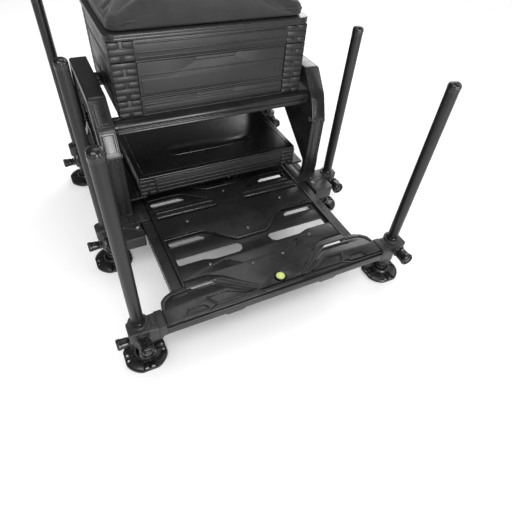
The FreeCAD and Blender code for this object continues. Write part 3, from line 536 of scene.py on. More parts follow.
def shallow_wells():
    """Pockets of the top skin alone, right half: front wedge, ear cup and the lines by the ridges."""
    wedge = [(170, 4), (128, 6), (92, -12), (70, -19), (158, -17)]
    cup = [(226, -24), (219, -10), (186, -9), (176, -22)]
    tip = [(58, 66), (80, 66), (98, 90), (88, 90)]
    lines = [[(204, 64), (150, 64), (118, 48), (52, -10), (55, -14), (121, 43), (151, 60), (204, 60)],
             [(204, 32), (136, 32), (122, 25), (62, -16), (68, -20), (124, 18), (138, 26), (204, 26)],
             [(204, 208), (124, 208), (106, 202), (38, 152), (38, 149), (108, 199), (125, 205), (204, 205)],
             [(262, 8), (256, 26), (240, 37), (204, 40), (204, 38), (238, 35), (254, 24), (260, 8)]]
    return [rounded(wedge, 4), rounded(cup, 4), rounded(tip, 3)] + [rounded(pts, 1.5, 2) for pts in lines]


def paired(loops):
    """Outlines and their mirror images."""
    return loops + [[(-x, y) for x, y in reversed(loop)] for loop in loops]


def button_hole(r):
    """Round hole for the release button."""
    return arc_points((0, middle("footplate_button").y), r, 0, 352.5, 47)


def tread_relief():
    """Ridges and steps that stand on the top skin."""
    x1, base = TREAD_HALF - 4, DECK - 1
    chevron = [(0, 146), (38, 146), (104, 200), (x1, 200), (x1, 203), (103, 203), (37, 149), (0, 149)]
    ridge = [(46, -14), (54, -18), (122, 36), (136, 42), (x1, 42), (x1, 57), (148, 57), (122, 46)]
    brow = [(0, 352), (40, 352), (96, 384), (x1, 384), (x1, 394), (90, 394), (36, 363), (0, 363)]
    out = [plate(rounded(over(chevron), 2), base, DECK + 1.5, edge=0.7),
           plate(rounded(over(brow), 5), base, DECK + 1.6, edge=0.9)]
    ramp = [(283, base), (284, DECK + 1.6), (294, DECK + 4.2), (298, DECK + 3.6), (299, base)]
    bead = [(197, 297.5), (190, 298), (52, 298), (45, 296), (41.5, 291), (42, 285), (46, 282.5)]
    bead = rounded(bead + bead[::-1][1:-1], 6, 5)
    bead = bead[:len(bead) // 2 + 1]
    bead = [Vector((x, y, DECK + 1.2 + 2.4 * (y - 282) / 16)) for x, y in bead]
    for form in (plate(rounded(ridge, 4), base, DECK + 2.4, edge=1.2, steps=3),
                 upright(ramp, 46, 196, edge=0.8), tube_along(bead, 2.3, False)):
        out += both([form])
    for pts in (rectangle(x1 - 1.5, x1 + 3.6, 52, 468), [(160, -17), (174, 4), (171, 6), (157, -15)]):
        out += both([plate(rounded(pts, 0.8, 2), base, DECK + 1.6, edge=0.7)])
    return out


def build_tread():
    """Moulded tread: top skin with pockets, thick field behind it, slotted floor, skirts and ribs."""
    across, right_only = deep_wells()
    deep = across + paired(right_only)
    *floor_slots, front_slot = tread_slots()
    front_slots = paired([front_slot])
    skin_holes = deep + paired(shallow_wells()) + front_slots + [button_hole(14.4)]
    base = [(0, -29), (268, -29), (268, 10), (264, 29), (253, 40), (235, 48), (TREAD_HALF - 1, 49),
            (TREAD_HALF - 1, 469), (0, 469)]
    under, skirt = DECK - 8, TREAD_HALF - 3
    floor = [(0, 90), (skirt, 90), (skirt, 469), (0, 469)]
    forms = [plate(rounded(over(tread_outline()), 4), SKIN_TOP - 0.4, DECK, holes=skin_holes),
             plate(rounded(over(base), 4), DECK - 4, SKIN_TOP, edge=0.5,
                   holes=deep + front_slots + [button_hole(13.4)]),
             plate(over(floor), under + 0.3, FLOOR_TOP, edge=0.5, holes=paired(floor_slots))]
    for loop in floor_slots:
        xs, ys = zip(*loop)
        cx, cy = (min(xs) + max(xs)) / 2, (min(ys) + max(ys)) / 2
        kx, ky = 1 + 5 / (max(xs) - min(xs)), 1 + 5 / (max(ys) - min(ys))
        wide = [((x - cx) * kx + cx, (y - cy) * ky + cy) for x, y in loop]
        forms += both([plate(wide, FLOOR_TOP - 0.6, FLOOR_TOP + 1.4, edge=0.6, holes=[loop])])
    forms += tread_relief()
    forms += both([soft_block(skirt, TREAD_HALF, 14, 470, under, DECK - 3, edge=0.8)])
    forms += [soft_block(-skirt, skirt, y, y + 3, under, DECK - 3, edge=0.6) for y in (225, 318, 400, 467)]
    piece("tread_moulding", forms, "tread_plastic", "footplate", "footplate_tread")


def build_button():
    """Release button: dark flange and collar, lime cap with a notched rim and a raised middle."""
    _, _, _, foot, top = extent("footplate_button")
    spot = at(0, middle("footplate_button").y)
    flange = [(0, foot), (15.3, foot), (15.3, foot + 2.5), (12.4, foot + 2.6), (0, foot + 2.6)]
    collar = [(10.4, foot + 1), (12.9, foot + 1), (12.9, top - 2.2), (12.2, top - 1.4), (11.2, top - 1.4),
              (10.4, top - 2.2)]
    cap = [(0, foot + 1), (10.1, foot + 1), (10.1, top - 1.6), (9.7, top - 0.9), (8.8, top - 0.6),
           (7.0, top - 1.2), (0, top - 1.2)]
    core = [(0, top - 2), (5.6, top - 2), (5.4, top - 0.6), (4.6, top - 0.1), (0, top)]
    piece("button_collar", [swept(flange), ringed(collar)], "gloss_black", "button", place=spot)
    lime = [swept(cap, steps=96, shape=grip_shape(8, 0.14)), swept(core)]
    piece("release_button", lime, "lime_plastic", "button", "footplate_button", place=spot)


def build_screws():
    """Screws of the tread where the CAD ones are, with pan heads and round sockets."""
    r, h = 4.2, 1.6
    head = [(0, 0), (r, 0), (r, h * 0.35), (r * 0.9, h * 0.75), (r * 0.66, h), (r * 0.45, h),
            (r * 0.42, h * 0.3), (0, h * 0.3)]
    spots = [(0, 330), (0, 170)]
    for x, y in ((131, 248), (131, 91), (39, 58), (40, 385), (180, 440)):
        spots += [(x, y), (-x, y)]
    forms = [moved(swept(head, steps=24), at(x, y, DECK)) for x, y in spots]
    piece("tread_screws", forms, "dark_steel", "footplate", "footplate_screws")


def build_front_bar():
    """Hollow bar under the tread with its stepped front edge, a line along its face and two lugs below."""
    low, high = node_box("front_bar")
    x, y0, y1, z0, z1, wall = high.x, low.y, high.y, BAR_LOW, high.z, BAR_WALL
    section = [(y0, z0), (y1, z0), (y1, z1), (y0 + 6, z1), (y0 + 6, z1 - 7), (y0, z1 - 7)]
    bore = [(y0 + wall, z0 + wall), (y1 - wall, z0 + wall), (y1 - wall, z1 - wall), (y0 + 9, z1 - wall),
            (y0 + 9, z1 - 10), (y0 + wall, z1 - 10)]
    forms = [upright(rounded(section, 1.5), low.x, x, edge=0.7, holes=[rounded(bore, 1.0)])]
    for mid in (-118, 118):
        lug = [(mid - 28, z0 + 1), (mid + 28, z0 + 1), (mid + 27, z0 - 4), (mid + 19, z0 - 11),
               (mid - 19, z0 - 11), (mid - 27, z0 - 4)]
        forms.append(facing(rounded(lug, 3), y0 + 4, y0 + 18, edge=1.0))
    forms.append(soft_block(low.x + 2, x - 2, y0 - 0.01, y0 + 0.6, z0 + 9.4, z0 + 10.6, edge=0.2))
    piece("front_cross_bar", forms, "anodised_bar", "footplate", "front_bar")


# Millimetres: bore of a leg sleeve, heights of its two knobs, and inner end of the front castings
SLEEVE_BORE = 12.7
BOSS_Z = 105.0
ARM_Z = 65.0
CAST_INNER = 270.0


def sleeve_forms(x):
    """Split sleeve, its bosses, clamp ears and bolts for a leg on the right, at its row."""
    z0, z1, bore = 50.0, DECK + 3, SLEEVE_BORE
    profile = [(bore, z0), (19, z0), (20, z0 + 1), (20, DECK - 32), (20.4, DECK - 30), (20.4, z1 - 1.2),
               (19.4, z1), (14.6, z1), (bore, z1 - 2)]
    boss = [(0, 8), (13, 8), (13, 30), (12.2, 32.5), (10.5, 34), (5, 34), (0, 34)]
    ring = [(12.6, 14), (14, 15), (14, 19), (12.6, 20), (12.6, 14)]
    arm = [(0, 8), (11.5, 8), (11, 18.5), (10.2, 20.6), (8.8, 21.5), (0, 21.5)]
    web = rounded([(-30, 96), (-14, 58), (-10, 58), (-10, 104), (-30, 104)], 3)
    ear = rounded([(17, 52), (28, 55), (30, 60), (30, 78), (27, 84), (17, 86)], 3)
    bolt = [(0, 0), (3.4, 0), (3.4, 2), (2.9, 2.8), (1.6, 2.8), (1.5, 1.4), (0, 1.4)]
    return [moved(ringed(profile), at(x, 0)),
            stood(boss, (0, -1, 0), (x, 0, BOSS_Z), steps=40),
            stood(ring, (0, -1, 0), (x, 0, BOSS_Z), steps=40),
            stood(arm, (1, 0, 0), (x, 0, ARM_Z), steps=36),
            upright(web, x - 4, x + 4, edge=1.2),
            upright(ear, x - 7.6, x - 1.6, edge=1.0),
            upright(ear, x + 1.6, x + 7.6, edge=1.0),
            stood(bolt, (1, 0, 0), (x + 7.4, 24, 62), steps=20),
            stood(bolt, (1, 0, 0), (x + 7.4, 24, 76), steps=20)]


def casting(name, row, forms, body):
    """Castings of a leg row, both sides in one piece, out of forms drawn at the row."""
    leg = middle("leg_tube_" + row + "_right")
    forms = both(forms + sleeve_forms(leg.x))
    piece(name, forms, "casting_paint", body, row + "_castings", place=at(0, leg.y))


def build_castings():
    """Corner castings of the three leg rows."""
    x = middle("leg_tube_front_right").x
    z0, inner = BAR_LOW, CAST_INNER
    corner = [(inner, -32), (x + 25, -28), (x + 25, 8), (inner, 12)]
    frame_out = [(inner + 18, -24), (x - 20, -24), (x - 24, 4), (inner + 18, 4)]
    frame_in = [(inner + 20, -22), (x - 23, -22), (x - 26, 2), (inner + 20, 2)]
    forms = [plate(rounded(corner, 8, 6), z0, DECK, edge=2.4, steps=4),
             soft_block(inner, inner + 16, -32.4, 12.4, z0 - 0.4, DECK + 0.5, edge=0.9),
             plate(rounded(frame_out, 4), DECK - 0.6, DECK + 0.5, edge=0.5, holes=[rounded(frame_in, 3)]),
             soft_block(278, x - 8, -24, 4, z0 - 20, z0 + 1, edge=2.2, steps=3),
             soft_block(inner - 20, inner + 1, -28, 8, z0 + 4, z0 + 18, edge=1.0)]
    casting("front_corner_castings", "front", forms, "footplate")
    arm = [(262, -16), (x + 18, -18), (x + 25, -10), (x + 25, 12), (x + 18, 18), (290, 20), (262, 26)]
    nose = [(240, -72), (290, -72), (298, -64), (298, -16), (240, -16)]
    upper = [(240, -72), (290, -72), (298, -64), (298, -30), (280, -27), (240, -54)]
    lower = [(240, -50), (278, -24), (298, -27), (298, -16), (240, -16)]
    forms = [plate(rounded(arm, 5), z0, DECK, edge=2.0, steps=3),
             plate(rounded(nose, 3), z0, DECK - 1.2, edge=1.6, steps=3),
             plate(rounded(upper, 2), DECK - 3, DECK, edge=0.9),
             plate(rounded(lower, 2), DECK - 3, DECK, edge=0.9)]
    casting("middle_corner_castings", "mid", forms, "root")
    arm = [(262, -28), (x + 17, -18), (x + 25, -10), (x + 25, 12), (x + 17, 18), (262, 18)]
    casting("rear_corner_castings", "rear", [plate(rounded(arm, 5), z0, DECK, edge=2.0, steps=3)], "root")


def grip_shape(lobes, depth):
    """Radius scale of a grip with lobes and narrow grooves between them."""
    return lambda a: 1.0 - depth * abs(math.cos(lobes * a / 2.0)) ** 7


def flat_shape(flats, depth):
    """Radius scale of a grip with flats and a narrow groove at each edge between them."""
    def scale(a):
        part = 2 * math.pi / flats
        turn = (a + part / 2) % part - part / 2
        flat = math.cos(part / 2) / math.cos(turn)
        return 0.5 * (1 + flat) * (1.0 - depth * abs(math.sin(flats * a / 2.0)) ** 9)
    return scale


def knob_forms(r, length):
    """Spool-shaped clamp knob along +Z: collar, grip with six flats, dished end and stud."""
    collar = [(0, 0), (0.86 * r, 0), (0.97 * r, 0.8), (0.99 * r, 2.4), (0.92 * r, 3.8), (0.7 * r, 4.6),
              (0.7 * r, 6.2)]
    grip = [(0.7 * r, 4.0), (0.84 * r, 5.2), (0.93 * r, 7.5), (0.95 * r, 0.5 * length),
            (1.0 * r, length - 9.5), (1.07 * r, length - 7.5), (1.09 * r, length - 4.0),
            (1.06 * r, length - 2.0), (0.98 * r, length - 0.7), (0.86 * r, length - 0.1)]
    dish = [(0.86 * r, length - 0.1), (0.78 * r, length - 0.6), (0.74 * r, length - 3.4),
            (0.5 * r, length - 3.6), (0.47 * r, length - 1.4), (0.40 * r, length - 0.7),
            (0.2 * r, length - 0.4), (0, length - 0.4)]
    stud = [(0, -6), (3.8, -6), (3.8, 1), (0, 1)]
    return [swept(collar, steps=48), swept(grip, steps=96, shape=flat_shape(6, 0.12)), swept(dish, steps=96),
            swept(stud, steps=24)]


def build_knobs():
    """Clamp knobs of the legs, facing forward, and of the accessory arms, facing outward."""
    for name, sign, leg in legs():
        for kind, direction, reach, z, r, length in (("leg_knob_", (0, -1, 0), 34.3, BOSS_Z, 15.5, 35.0),
                                                     ("arm_knob_", (sign, 0, 0), 21.8, ARM_Z, 12.0, 30.0)):
            turn = turned_to(direction, Vector((leg.x, leg.y, z)) + Vector(direction) * reach)
            node = kind + name
            piece(node + "_grip", knob_forms(r, length), "knob_nylon", node, node, place=turn)


def foot_rim():
    """Outline of the foot: round, with four flats."""
    out = []
    for i in range(96):
        a = 2 * math.pi * i / 96
        turn = (a + math.pi / 4) % (math.pi / 2) - math.pi / 4
        r = 48 * min(1.0, 45.0 / (48.0 * math.cos(turn)))
        out.append((r * math.cos(a), r * math.sin(a)))
    return out


def foot_forms():
    """Mud foot: slotted web, four domed lobes, the cup round the ball, its socket, and ribs."""
    turns = [Matrix.Rotation(math.pi / 2 * quarter, 4, "Z") for quarter in range(4)]
    slots = []
    for turn in turns:
        for y0, y1 in ((3, 11), (-11, -3)):
            loop = rounded(rectangle(36, 41, y0, y1), 1.2, 2)
            slots.append([tuple((turn.to_3x3() @ Vector((x, y, 0)))[:2]) for x, y in loop])
    forms = [plate(foot_rim(), 0, 5.5, edge=1.4, holes=slots, steps=3)]
    lobe = [(20, 4), (47.2, 4), (47.6, 6.0), (46.4, 8.2), (43, 10.4), (37, 12.2), (29, 13.4), (20, 14)]
    crest = [(24, 13), (30, 14.2), (37, 13.0), (41, 11.6), (41, 8), (24, 8)]
    for a in (45, 135, 225, 315):
        forms += [swept(lobe, a - 25.5, a + 25.5, steps=22), swept(crest, a - 17, a + 17, steps=14)]
    cup = [(24.5, 3), (24, 12), (22.6, 16.5), (20.2, 18.6), (18.4, 18.4), (17.4, 16.6), (16.8, 11), (16, 4)]
    socket = [(16.5, 3), (15.2, 12), (14.6, 20), (13.4, 24.2), (12.2, 25), (11.2, 24.4), (10.4, 22),
              (9.4, 19), (9.2, 12), (9, 3)]
    forms += [ringed(cup), ringed(socket, shape=grip_shape(8, 0.05))]
    for turn in turns:
        forms += [moved(soft_block(22, 44.2, -1.5, 1.5, 4, 9, edge=0.7), turn),
                  moved(soft_block(42.2, 44.8, -12, 12, 4, 8.2, edge=0.8), turn)]
    return forms


def build_feet():
    """Six mud feet."""
    for name, _, leg in legs():
        node = "foot_" + name
        piece(node + "_moulding", foot_forms(), "foot_nylon", node, node, place=at(leg.x, leg.y))


def build_leg_fittings():
    """Domed caps, ball studs and the bushes at the top of the sleeves."""
    for name, _, leg in legs():
        top = node_box("leg_tube_" + name)[1].z
        shift = at(leg.x, leg.y)
        dome = [(12.2, top - 0.5), (13, top - 0.2), (13, top + 1.0), (12.5, top + 1.6), (12.7, top + 2.2)]
        for i in range(1, 12):
            a = math.radians(7.5 * i)
            dome.append((12.7 * math.cos(a) ** 0.85, top + 2.2 + 7.6 * math.sin(a)))
        dome.append((0, top + 9.8))
        seam = [(12.4, top - 9), (12.75, top - 8.6), (12.75, top - 0.8), (12.4, top - 0.4)]
        stud = arc_points((0, 20), 9, -90, 54, 12)
        stud += [(4.2, 27.5), (4.2, 29.5), (13, 29.6), (14, 30.4), (14, 33.2), (13.2, 34), (12.4, 34.4)]
        body = "leg_" + name
        forms = [swept(dome, shape=grip_shape(10, 0.06)), ringed(seam), swept(stud)]
        piece(body + "_ends", forms, "gloss_black", body, "leg_fittings_" + name, place=shift)
        bush = [(12.65, DECK), (14.5, DECK), (14.3, DECK + 5), (13.9, DECK + 7), (13.2, DECK + 8),
                (12.65, DECK + 8)]
        parent = "footplate" if name.startswith("front") else "root"
        piece(body + "_bush", [ringed(bush)], "knob_nylon", parent, place=shift)


# Millimetres: bends of the side frame, its chamfer, rim and rear of the top tray, and its hinge's straps
KNEE = 290.0
SHOULDER = 345.0
CHAMFER = 4.5
TRAY_TOP = 505.6
TRAY_REAR = 655.0
TRAY_STRAP = 654.0
SEAT_REAR = 656.0
SEAT_STRAP = 652.0


def inset(points, d):
    """Closed outline drawn in by a distance, corners mitred."""
    area = sum(a[0] * b[1] - b[0] * a[1] for a, b in zip(points, points[1:] + points[:1]))
    turn = 1 if area > 0 else -1
    out = []
    for i, q in enumerate(points):
        p, q, s = Vector(points[i - 1]), Vector(q), Vector(points[(i + 1) % len(points)])
        u, v = (q - p).normalized(), (s - q).normalized()
        n, m = Vector((-u.y, u.x)) * turn, Vector((-v.y, v.x)) * turn
        out.append(tuple(q + (n + m) / max(0.25, 1 + n.dot(m)) * d))
    return out


def slab(a, b, x0, x1, thick, edge):
    """Raised panel lying on a slope between two places in Y and Z, facing forward."""
    along = (b - a).normalized()
    out = Vector((-along.y, along.x))
    pts = [a - out, b - out, b + out * thick, a + out * thick]
    return upright([tuple(p) for p in pts], x0, x1, edge=edge)


def bolt_forms(place, direction):
    """Hexagon head on a washer, at a place along a direction."""
    r, h = 5.8, 4.0
    washer = [(0.6 * r, 0), (1.35 * r, 0), (1.35 * r, 0.5), (1.2 * r, 0.9), (0.6 * r, 0.9), (0.6 * r, 0)]
    head = [(0, 0.8), (r, 0.8), (r, h - 0.8), (0.84 * r, h), (0, h - 0.3)]
    return [stood(washer, direction, place, steps=32), stood(head, direction, place, steps=6)]


def build_side_frames():
    """Moulded side frames: rim, inner web, beaded posts, knee and shoulder panels, ribs and foot pads."""
    low, high = node_box("side_frame_right")
    x0, x1, front, rear, z0, crown = low.x, high.x, low.y, high.y, low.z, high.z
    mid = (front + rear) / 2
    half = rear - mid
    outer = [(half, z0), (half, KNEE), (half - 22, SHOULDER), (half - 67, crown)]
    inner = [(24, 262), (half - 16, 160), (half - 16, z0)]
    ring = [(-y, z) for y, z in outer] + outer[::-1] + inner[::-1] + [(-y, z) for y, z in inner]
    arch = [(mid + y, z) for y, z in ring][::-1]
    rim = rounded(arch, 7, 5)
    forms = [upright(rim, x0, x1 - CHAMFER, edge=1.8, steps=3, holes=[rounded(inset(arch, 5), 3, 3)]),
             upright(rim, x1 - 2.4 * CHAMFER, x1, edge=CHAMFER, steps=1,
                     holes=[rounded(inset(arch, 2.2 * CHAMFER), 3, 3)]),
             upright(rounded(inset(arch, 2), 6, 4), x0 + 0.4, x0 + 7.5, edge=0.8)]
    for face, s in ((front, 1), (rear, -1)):
        forms += [soft_block(x, x + 1.5, face - s * 0.9, face + s * 0.6, z0 + 8, KNEE - 8, edge=0.6, steps=3)
                  for x in (x0 + 9, x0 + 12.5, x1 - 13, x1 - 9.5)]
    knee, shoulder, top = Vector((front, KNEE)), Vector((front + 22, SHOULDER)), Vector((front + 67, crown))
    for a, b in ((knee, shoulder), (shoulder, top)):
        forms += [slab(a.lerp(b, 0.1), a.lerp(b, 0.9), x0 + 3.5, x1 - 4, 2.2, 1.1),
                  slab(a.lerp(b, 0.18), a.lerp(b, 0.82), x0 + 8, x1 - 9, 3.6, 1.2)]
    boss = [(0, -1), (7.2, -1), (7.2, 1.2), (6.4, 2.0), (4.4, 2.0), (4.2, 0.6), (0, 0.6)]
    forms += [stood(boss, (0, -1, 0), (x, front + 0.4, KNEE - 7), steps=32) for x in (x0 + 10, x1 - 8)]
    for z in (165, 205, 245, 285):
        for a, b in ((front + 3, front + 14), (rear - 14, rear - 3)):
            forms.append(soft_block(x0 + 6, x1 - 4, a, b, z, z + 2.4, edge=0.7))
    for y in (mid - 70, mid - 24, mid + 24, mid + 70):
        forms.append(soft_block(x0 + 6, x1 - 4, y - 1.2, y + 1.2, 300, crown - 3, edge=0.7))
    for face, s in ((front, 1), (rear, -1)):
        brace = [(face + s * 15, 160), (face + s * 15, 150), (face + s * 25, 176)]
        forms += [soft_block(x0 + 0.5, x1, face, face + s * 22, z0, z0 + 5, edge=1.4, steps=3),
                  upright(brace, x0 + 2, x0 + 8, edge=0.6)]
    left = [mirrored(bm) for bm in forms]
    piece("side_frame_left_moulding", left, "frame_plastic", "root", "side_frame_left")
    piece("side_frame_right_moulding", forms, "frame_plastic", "root", "side_frame_right")
    bolts = []
    for y in (front + 13, rear - 13):
        bolts += bolt_forms((x0 + 0.2, y, KNEE - 5.8), (-1, 0, 0))
    bolts += bolt_forms((node_box("base_channel_right")[1].x - 12, 272, DECK), (0, 0, 1))
    piece("side_frame_bolts", both(bolts), "dark_steel", "root", "frame_bolts")


def build_upper_rails():
    """Hollow cross rails with beads along the top, a groove in each face and collars at the ends."""
    x, front, rear, z0, z1 = extent("upper_rails")
    low_x = node_box("upper_rails")[0].x
    forms = []
    for ya, yb in ((front, front + 32), (rear - 32, rear)):
        y, z = (ya + yb) / 2, (z0 + z1) / 2
        step, dip = ya + 1.8, ya + 4
        cheek = [(ya + 4, z0), (ya + 1.2, z0 + 1.5), (ya + 1.2, z0 + 4.5), (step, z0 + 5.5), (step, z - 2.5),
                 (dip, z - 1), (dip, z + 1), (ya, z + 2.5), (ya, z1 - 6), (ya + 2.2, z1 - 1.8), (ya + 7, z1)]
        section = rounded(cheek + [(2 * y - a, b) for a, b in cheek[::-1]], 1.6, 3)
        bore = rounded(rectangle(y - 10, y + 10, z - 7, z + 7), 3)
        forms.append(upright(section, low_x + 1, x - 1, edge=0.4, holes=[bore]))
        for s in (-1, 1):
            bead = [(y + s * 9, z1 - 0.9), (y + s * 11.4, z1 - 1.2), (y + s * 11.4, z1 - 2.6),
                    (y + s * 9, z1 - 2.2)]
            forms.append(upright(rounded(bead, 0.5, 2), low_x + 2, x - 2, edge=0.2))
        collar = rounded(rectangle(ya + 0.4, yb - 0.4, z0 + 0.4, z1 - 0.1), 7, 4)
        forms += [upright(collar, a, b, edge=1.2) for a, b in ((0.4 - x, 7 - x), (x - 7, x - 0.4))]
    piece("stack_cross_rails", forms, "anodised_bar", "root", "upper_rails")


def box_outline(x, y0, y1, d=0.0, r=0.0, steps=4):
    """Level outline of a tray drawn in by a distance, corners rounded if a radius is given."""
    pts = rectangle(d - x, x - d, y0 + d, y1 - d)
    return rounded(pts, r, steps) if r else pts


def tray_shell(x, y0, y1, z0, z1, wall, r=3.0):
    """Open tray: walls and floor."""
    return [plate(box_outline(x, y0, y1, 0, r), z0, z1, edge=0.7, holes=[box_outline(x, y0, y1, wall, r)]),
            plate(box_outline(x, y0, y1, 0.6, r), z0 + 0.1, z0 + wall)]


def brick_rows(start, stop, z0, z1, rows, notch):
    """Spans of a bricked corner: rows in turn whole and parted by a notch in the middle."""
    spans = []
    pitch = (z1 - z0) / rows
    mid = (start + stop) / 2
    for i in range(rows):
        low, high = z0 + i * pitch + 0.9, z0 + (i + 1) * pitch - 0.9
        if i % 2:
            spans.append((start + 0.5, stop - 0.5, low, high))
        else:
            spans += [(start + 0.5, mid - notch / 2, low, high), (mid + notch / 2, stop - 0.5, low, high)]
    return spans


def corner_mouldings(x, y0, y1, z0, z1, width, depth, rows):
    """Corner blocks of a tray unit on both sides, with staggered bricks on the faces that show."""
    forms = []
    for ya, yb in ((y0 - 0.6, y0 + depth), (y1 - depth, y1 - 0.4)):
        forms.append(soft_block(x - width, x - 1.4, ya, yb, z0 + 0.1, z1 - 0.1, edge=0.8))
        forms += [soft_block(x - 2, x, *brick, edge=0.75) for brick in brick_rows(ya, yb, z0, z1, rows, 3.0)]
    for a, b, za, zb in brick_rows(x - width, x - 0.6, z0, z1, rows, 7.0):
        forms += [soft_block(a, b, y0 - 2, y0 + 1, za, zb), soft_block(a, b, y1 - 1, y1, za, zb, edge=0.45)]
    return both(forms)


def level_beads(half, y, rows, h=2.2):
    """Level beads across a front face."""
    return [soft_block(-half, half, y - 0.9, y + 0.6, z, z + h, edge=0.7) for z in rows]


def build_low_case():
    """Low case: tray with bricked corners and beaded front, glossy lid with a plain raised field."""
    x, y0, y1, z0, z1 = extent("case_tray")
    y0 += 2
    forms = tray_shell(x - 0.6, y0 + 0.4, y1, z0, z1, 3)
    forms += corner_mouldings(x, y0, y1, z0, z1, 40, 26, 4)
    forms += level_beads(x - 44, y0 + 0.4, [z0 + 4, z0 + 14, z0 + 24])
    forms.append(soft_block(44 - x, x - 44, y0 - 1.2, y0 + 1, z1 - 5, z1 - 1.4, edge=1.2, steps=3))
    for y in (y0 + 60, y0 + 120, y0 + 180, y0 + 240):
        forms += both([soft_block(x - 1.0, x, y, y + 32, z0 + 6, z1 - 6, edge=0.45)])
    piece("low_case_tray", forms, "tray_plastic", "low_case", "case_tray")
    _, y0, y1, _, _ = extent("case_lid")
    top = z1 + 6
    forms = [plate(box_outline(x, y0, y1, 0, 6, 6), z1, top, edge=1.8, steps=4),
             plate(box_outline(x, y0, y1, 3.4), z1 - 4, z1 + 0.5, edge=0.4,
                   holes=[box_outline(x, y0, y1, 5.2)]),
             plate(box_outline(x, y0, y1, 12, 8, 6), top - 0.6, top + 0.5, edge=0.5,
                   holes=[box_outline(x, y0, y1, 14.5, 6, 6)])]
    half, near, far = 120, y0 + 70, y0 + 118
    field = [(0, near), (half - 22, near), (half, near + 14), (half, far - 14), (half - 22, far), (0, far)]
    floor = [(0, near + 8), (half - 26, near + 8), (half - 10, near + 18), (half - 10, far - 18),
             (half - 26, far - 8), (0, far - 8)]
    forms += [plate(rounded(over(field), 5, 5), top - 0.5, top + 1.5, edge=0.9, steps=3),
              plate(rounded(over(floor), 4, 5), top + 1.2, top + 1.6, edge=0.15)]
    piece("low_case_lid", forms, "gloss_black", "low_case", "case_lid")


def drawer_forms(half, y0, y1, z0, z1):
    """Open drawer: front with a finger recess, a panel and a bead, then walls and floor."""
    wall, pull, tall = 2.5, 45, z1 - z0
    front = [(-half, z0), (half, z0), (half, z1), (pull + 4, z1), (pull, z1 - 7), (-pull, z1 - 7),
             (-pull - 4, z1), (-half, z1)]
    panel = rectangle(6 - half, half - 6, z0 + 4, z0 + 0.5 * tall)
    bead = z0 + 0.62 * tall
    return [facing(rounded(front, 1.5, 3), y0 + 0.4, y0 + 2 * wall),
            plate(box_outline(half, y0 + 2, y1), z0, z1 - 0.6, edge=0.6,
                  holes=[box_outline(half - wall, y0 + 2 * wall, y1 - wall)]),
            plate(box_outline(half - 0.5, y0 + 2.5, y1 - 0.5), z0 + 0.1, z0 + wall, edge=0.6),
            facing(rounded(panel, 2, 3), y0 - 0.3, y0 + 1.2, edge=0.6),
            soft_block(6 - half, half - 6, y0 - 0.2, y0 + 1, bead, bead + 2.4, edge=0.7)]


def build_stack():
    """Two drawer housings with their drawers, and the top tray."""
    for name, rows in (("low_drawer", 3), ("deep_drawer", 6)):
        x, y0, y1, z0, z1 = extent(name + "_unit")
        y0 += 2
        shell = rounded(rectangle(0.8 - x, x - 0.8, z0, z1), 1.5, 3)
        bay = rectangle(52 - x, x - 52, z0 + 4, z1 - 4)
        forms = [facing(shell, y0, y1 - 3.5, holes=[rounded(bay, 1.0, 2)]), facing(shell, y1 - 4.5, y1 - 0.5)]
        forms += corner_mouldings(x, y0, y1, z0, z1, 52, 24, rows)
        beads = [soft_block(x - 1.0, x, y0 + 32, y1 - 32, z, z + 3, edge=0.45) for z in (z1 - 8, z0 + 5)]
        forms += both(beads)
        piece(name + "_housing", forms, "tray_plastic", "root", name + "_unit")
        piece(name + "_box", drawer_forms(*extent(name)), "tray_plastic", name, name)
    x, y0, _, z0, _ = extent("top_tray")
    y0, y1, z1 = y0 + 2, TRAY_REAR, TRAY_TOP
    forms = tray_shell(x - 0.8, y0, y1, z0, z1, 4)
    forms += corner_mouldings(x, y0, y1, z0, z1, 52, 24, 3)
    forms += level_beads(x - 56, y0, (z0 + 4, z0 + 14, z1 - 8), 3)
    forms += knuckle_forms(102.0, TRAY_STRAP, -5.2, -1.5)
    piece("top_tray_moulding", forms, "tray_plastic", "root", "top_tray")


def knuckle_forms(x0, strap, low, high):
    """Hinge knuckles from an X, and their straps back to a Y, between two heights from the axis."""
    hinge = middle("seat_hinge_pins")
    x1 = x0 + 17.85
    barrel = [(2.6, 0.3), (4.6, 0), (5.4, 0.8), (5.4, x1 - x0 - 0.8), (4.6, x1 - x0), (2.6, x1 - x0 - 0.3),
              (2.6, 0.3)]
    return both([stood(barrel, (1, 0, 0), (x0, hinge.y, hinge.z), steps=40),
                 soft_block(x0 + 0.4, x1 - 0.4, strap, hinge.y, hinge.z + low, hinge.z + high, edge=0.8)])


def build_seat_base():
    """Moulded seat lid: panel with a rounded rim, underside skirt and ribs, hinge knuckles."""
    x, y0, _, _, z1 = extent("seat_base")
    y1, z0 = SEAT_REAR, TRAY_TOP + 1.3
    rim = box_outline(x, y0, y1, 0, 26, 10)
    forms = [plate(rim, z0 + 5, z1, edge=2.4, steps=4),
             plate(rim, z0, z0 + 6.5, edge=1.4, steps=3, holes=[box_outline(x, y0, y1, 7, 19, 8)])]
    for i in range(-2, 3):
        forms.append(soft_block(i * 75 - 1.5, i * 75 + 1.5, y0 + 6, y1 - 6, z0 + 2.5, z0 + 6, edge=0.6))
    forms += knuckle_forms(120.15, SEAT_STRAP, 1.5, 5.2)
    piece("seat_lid", forms, "frame_plastic", "seat", "seat_base")


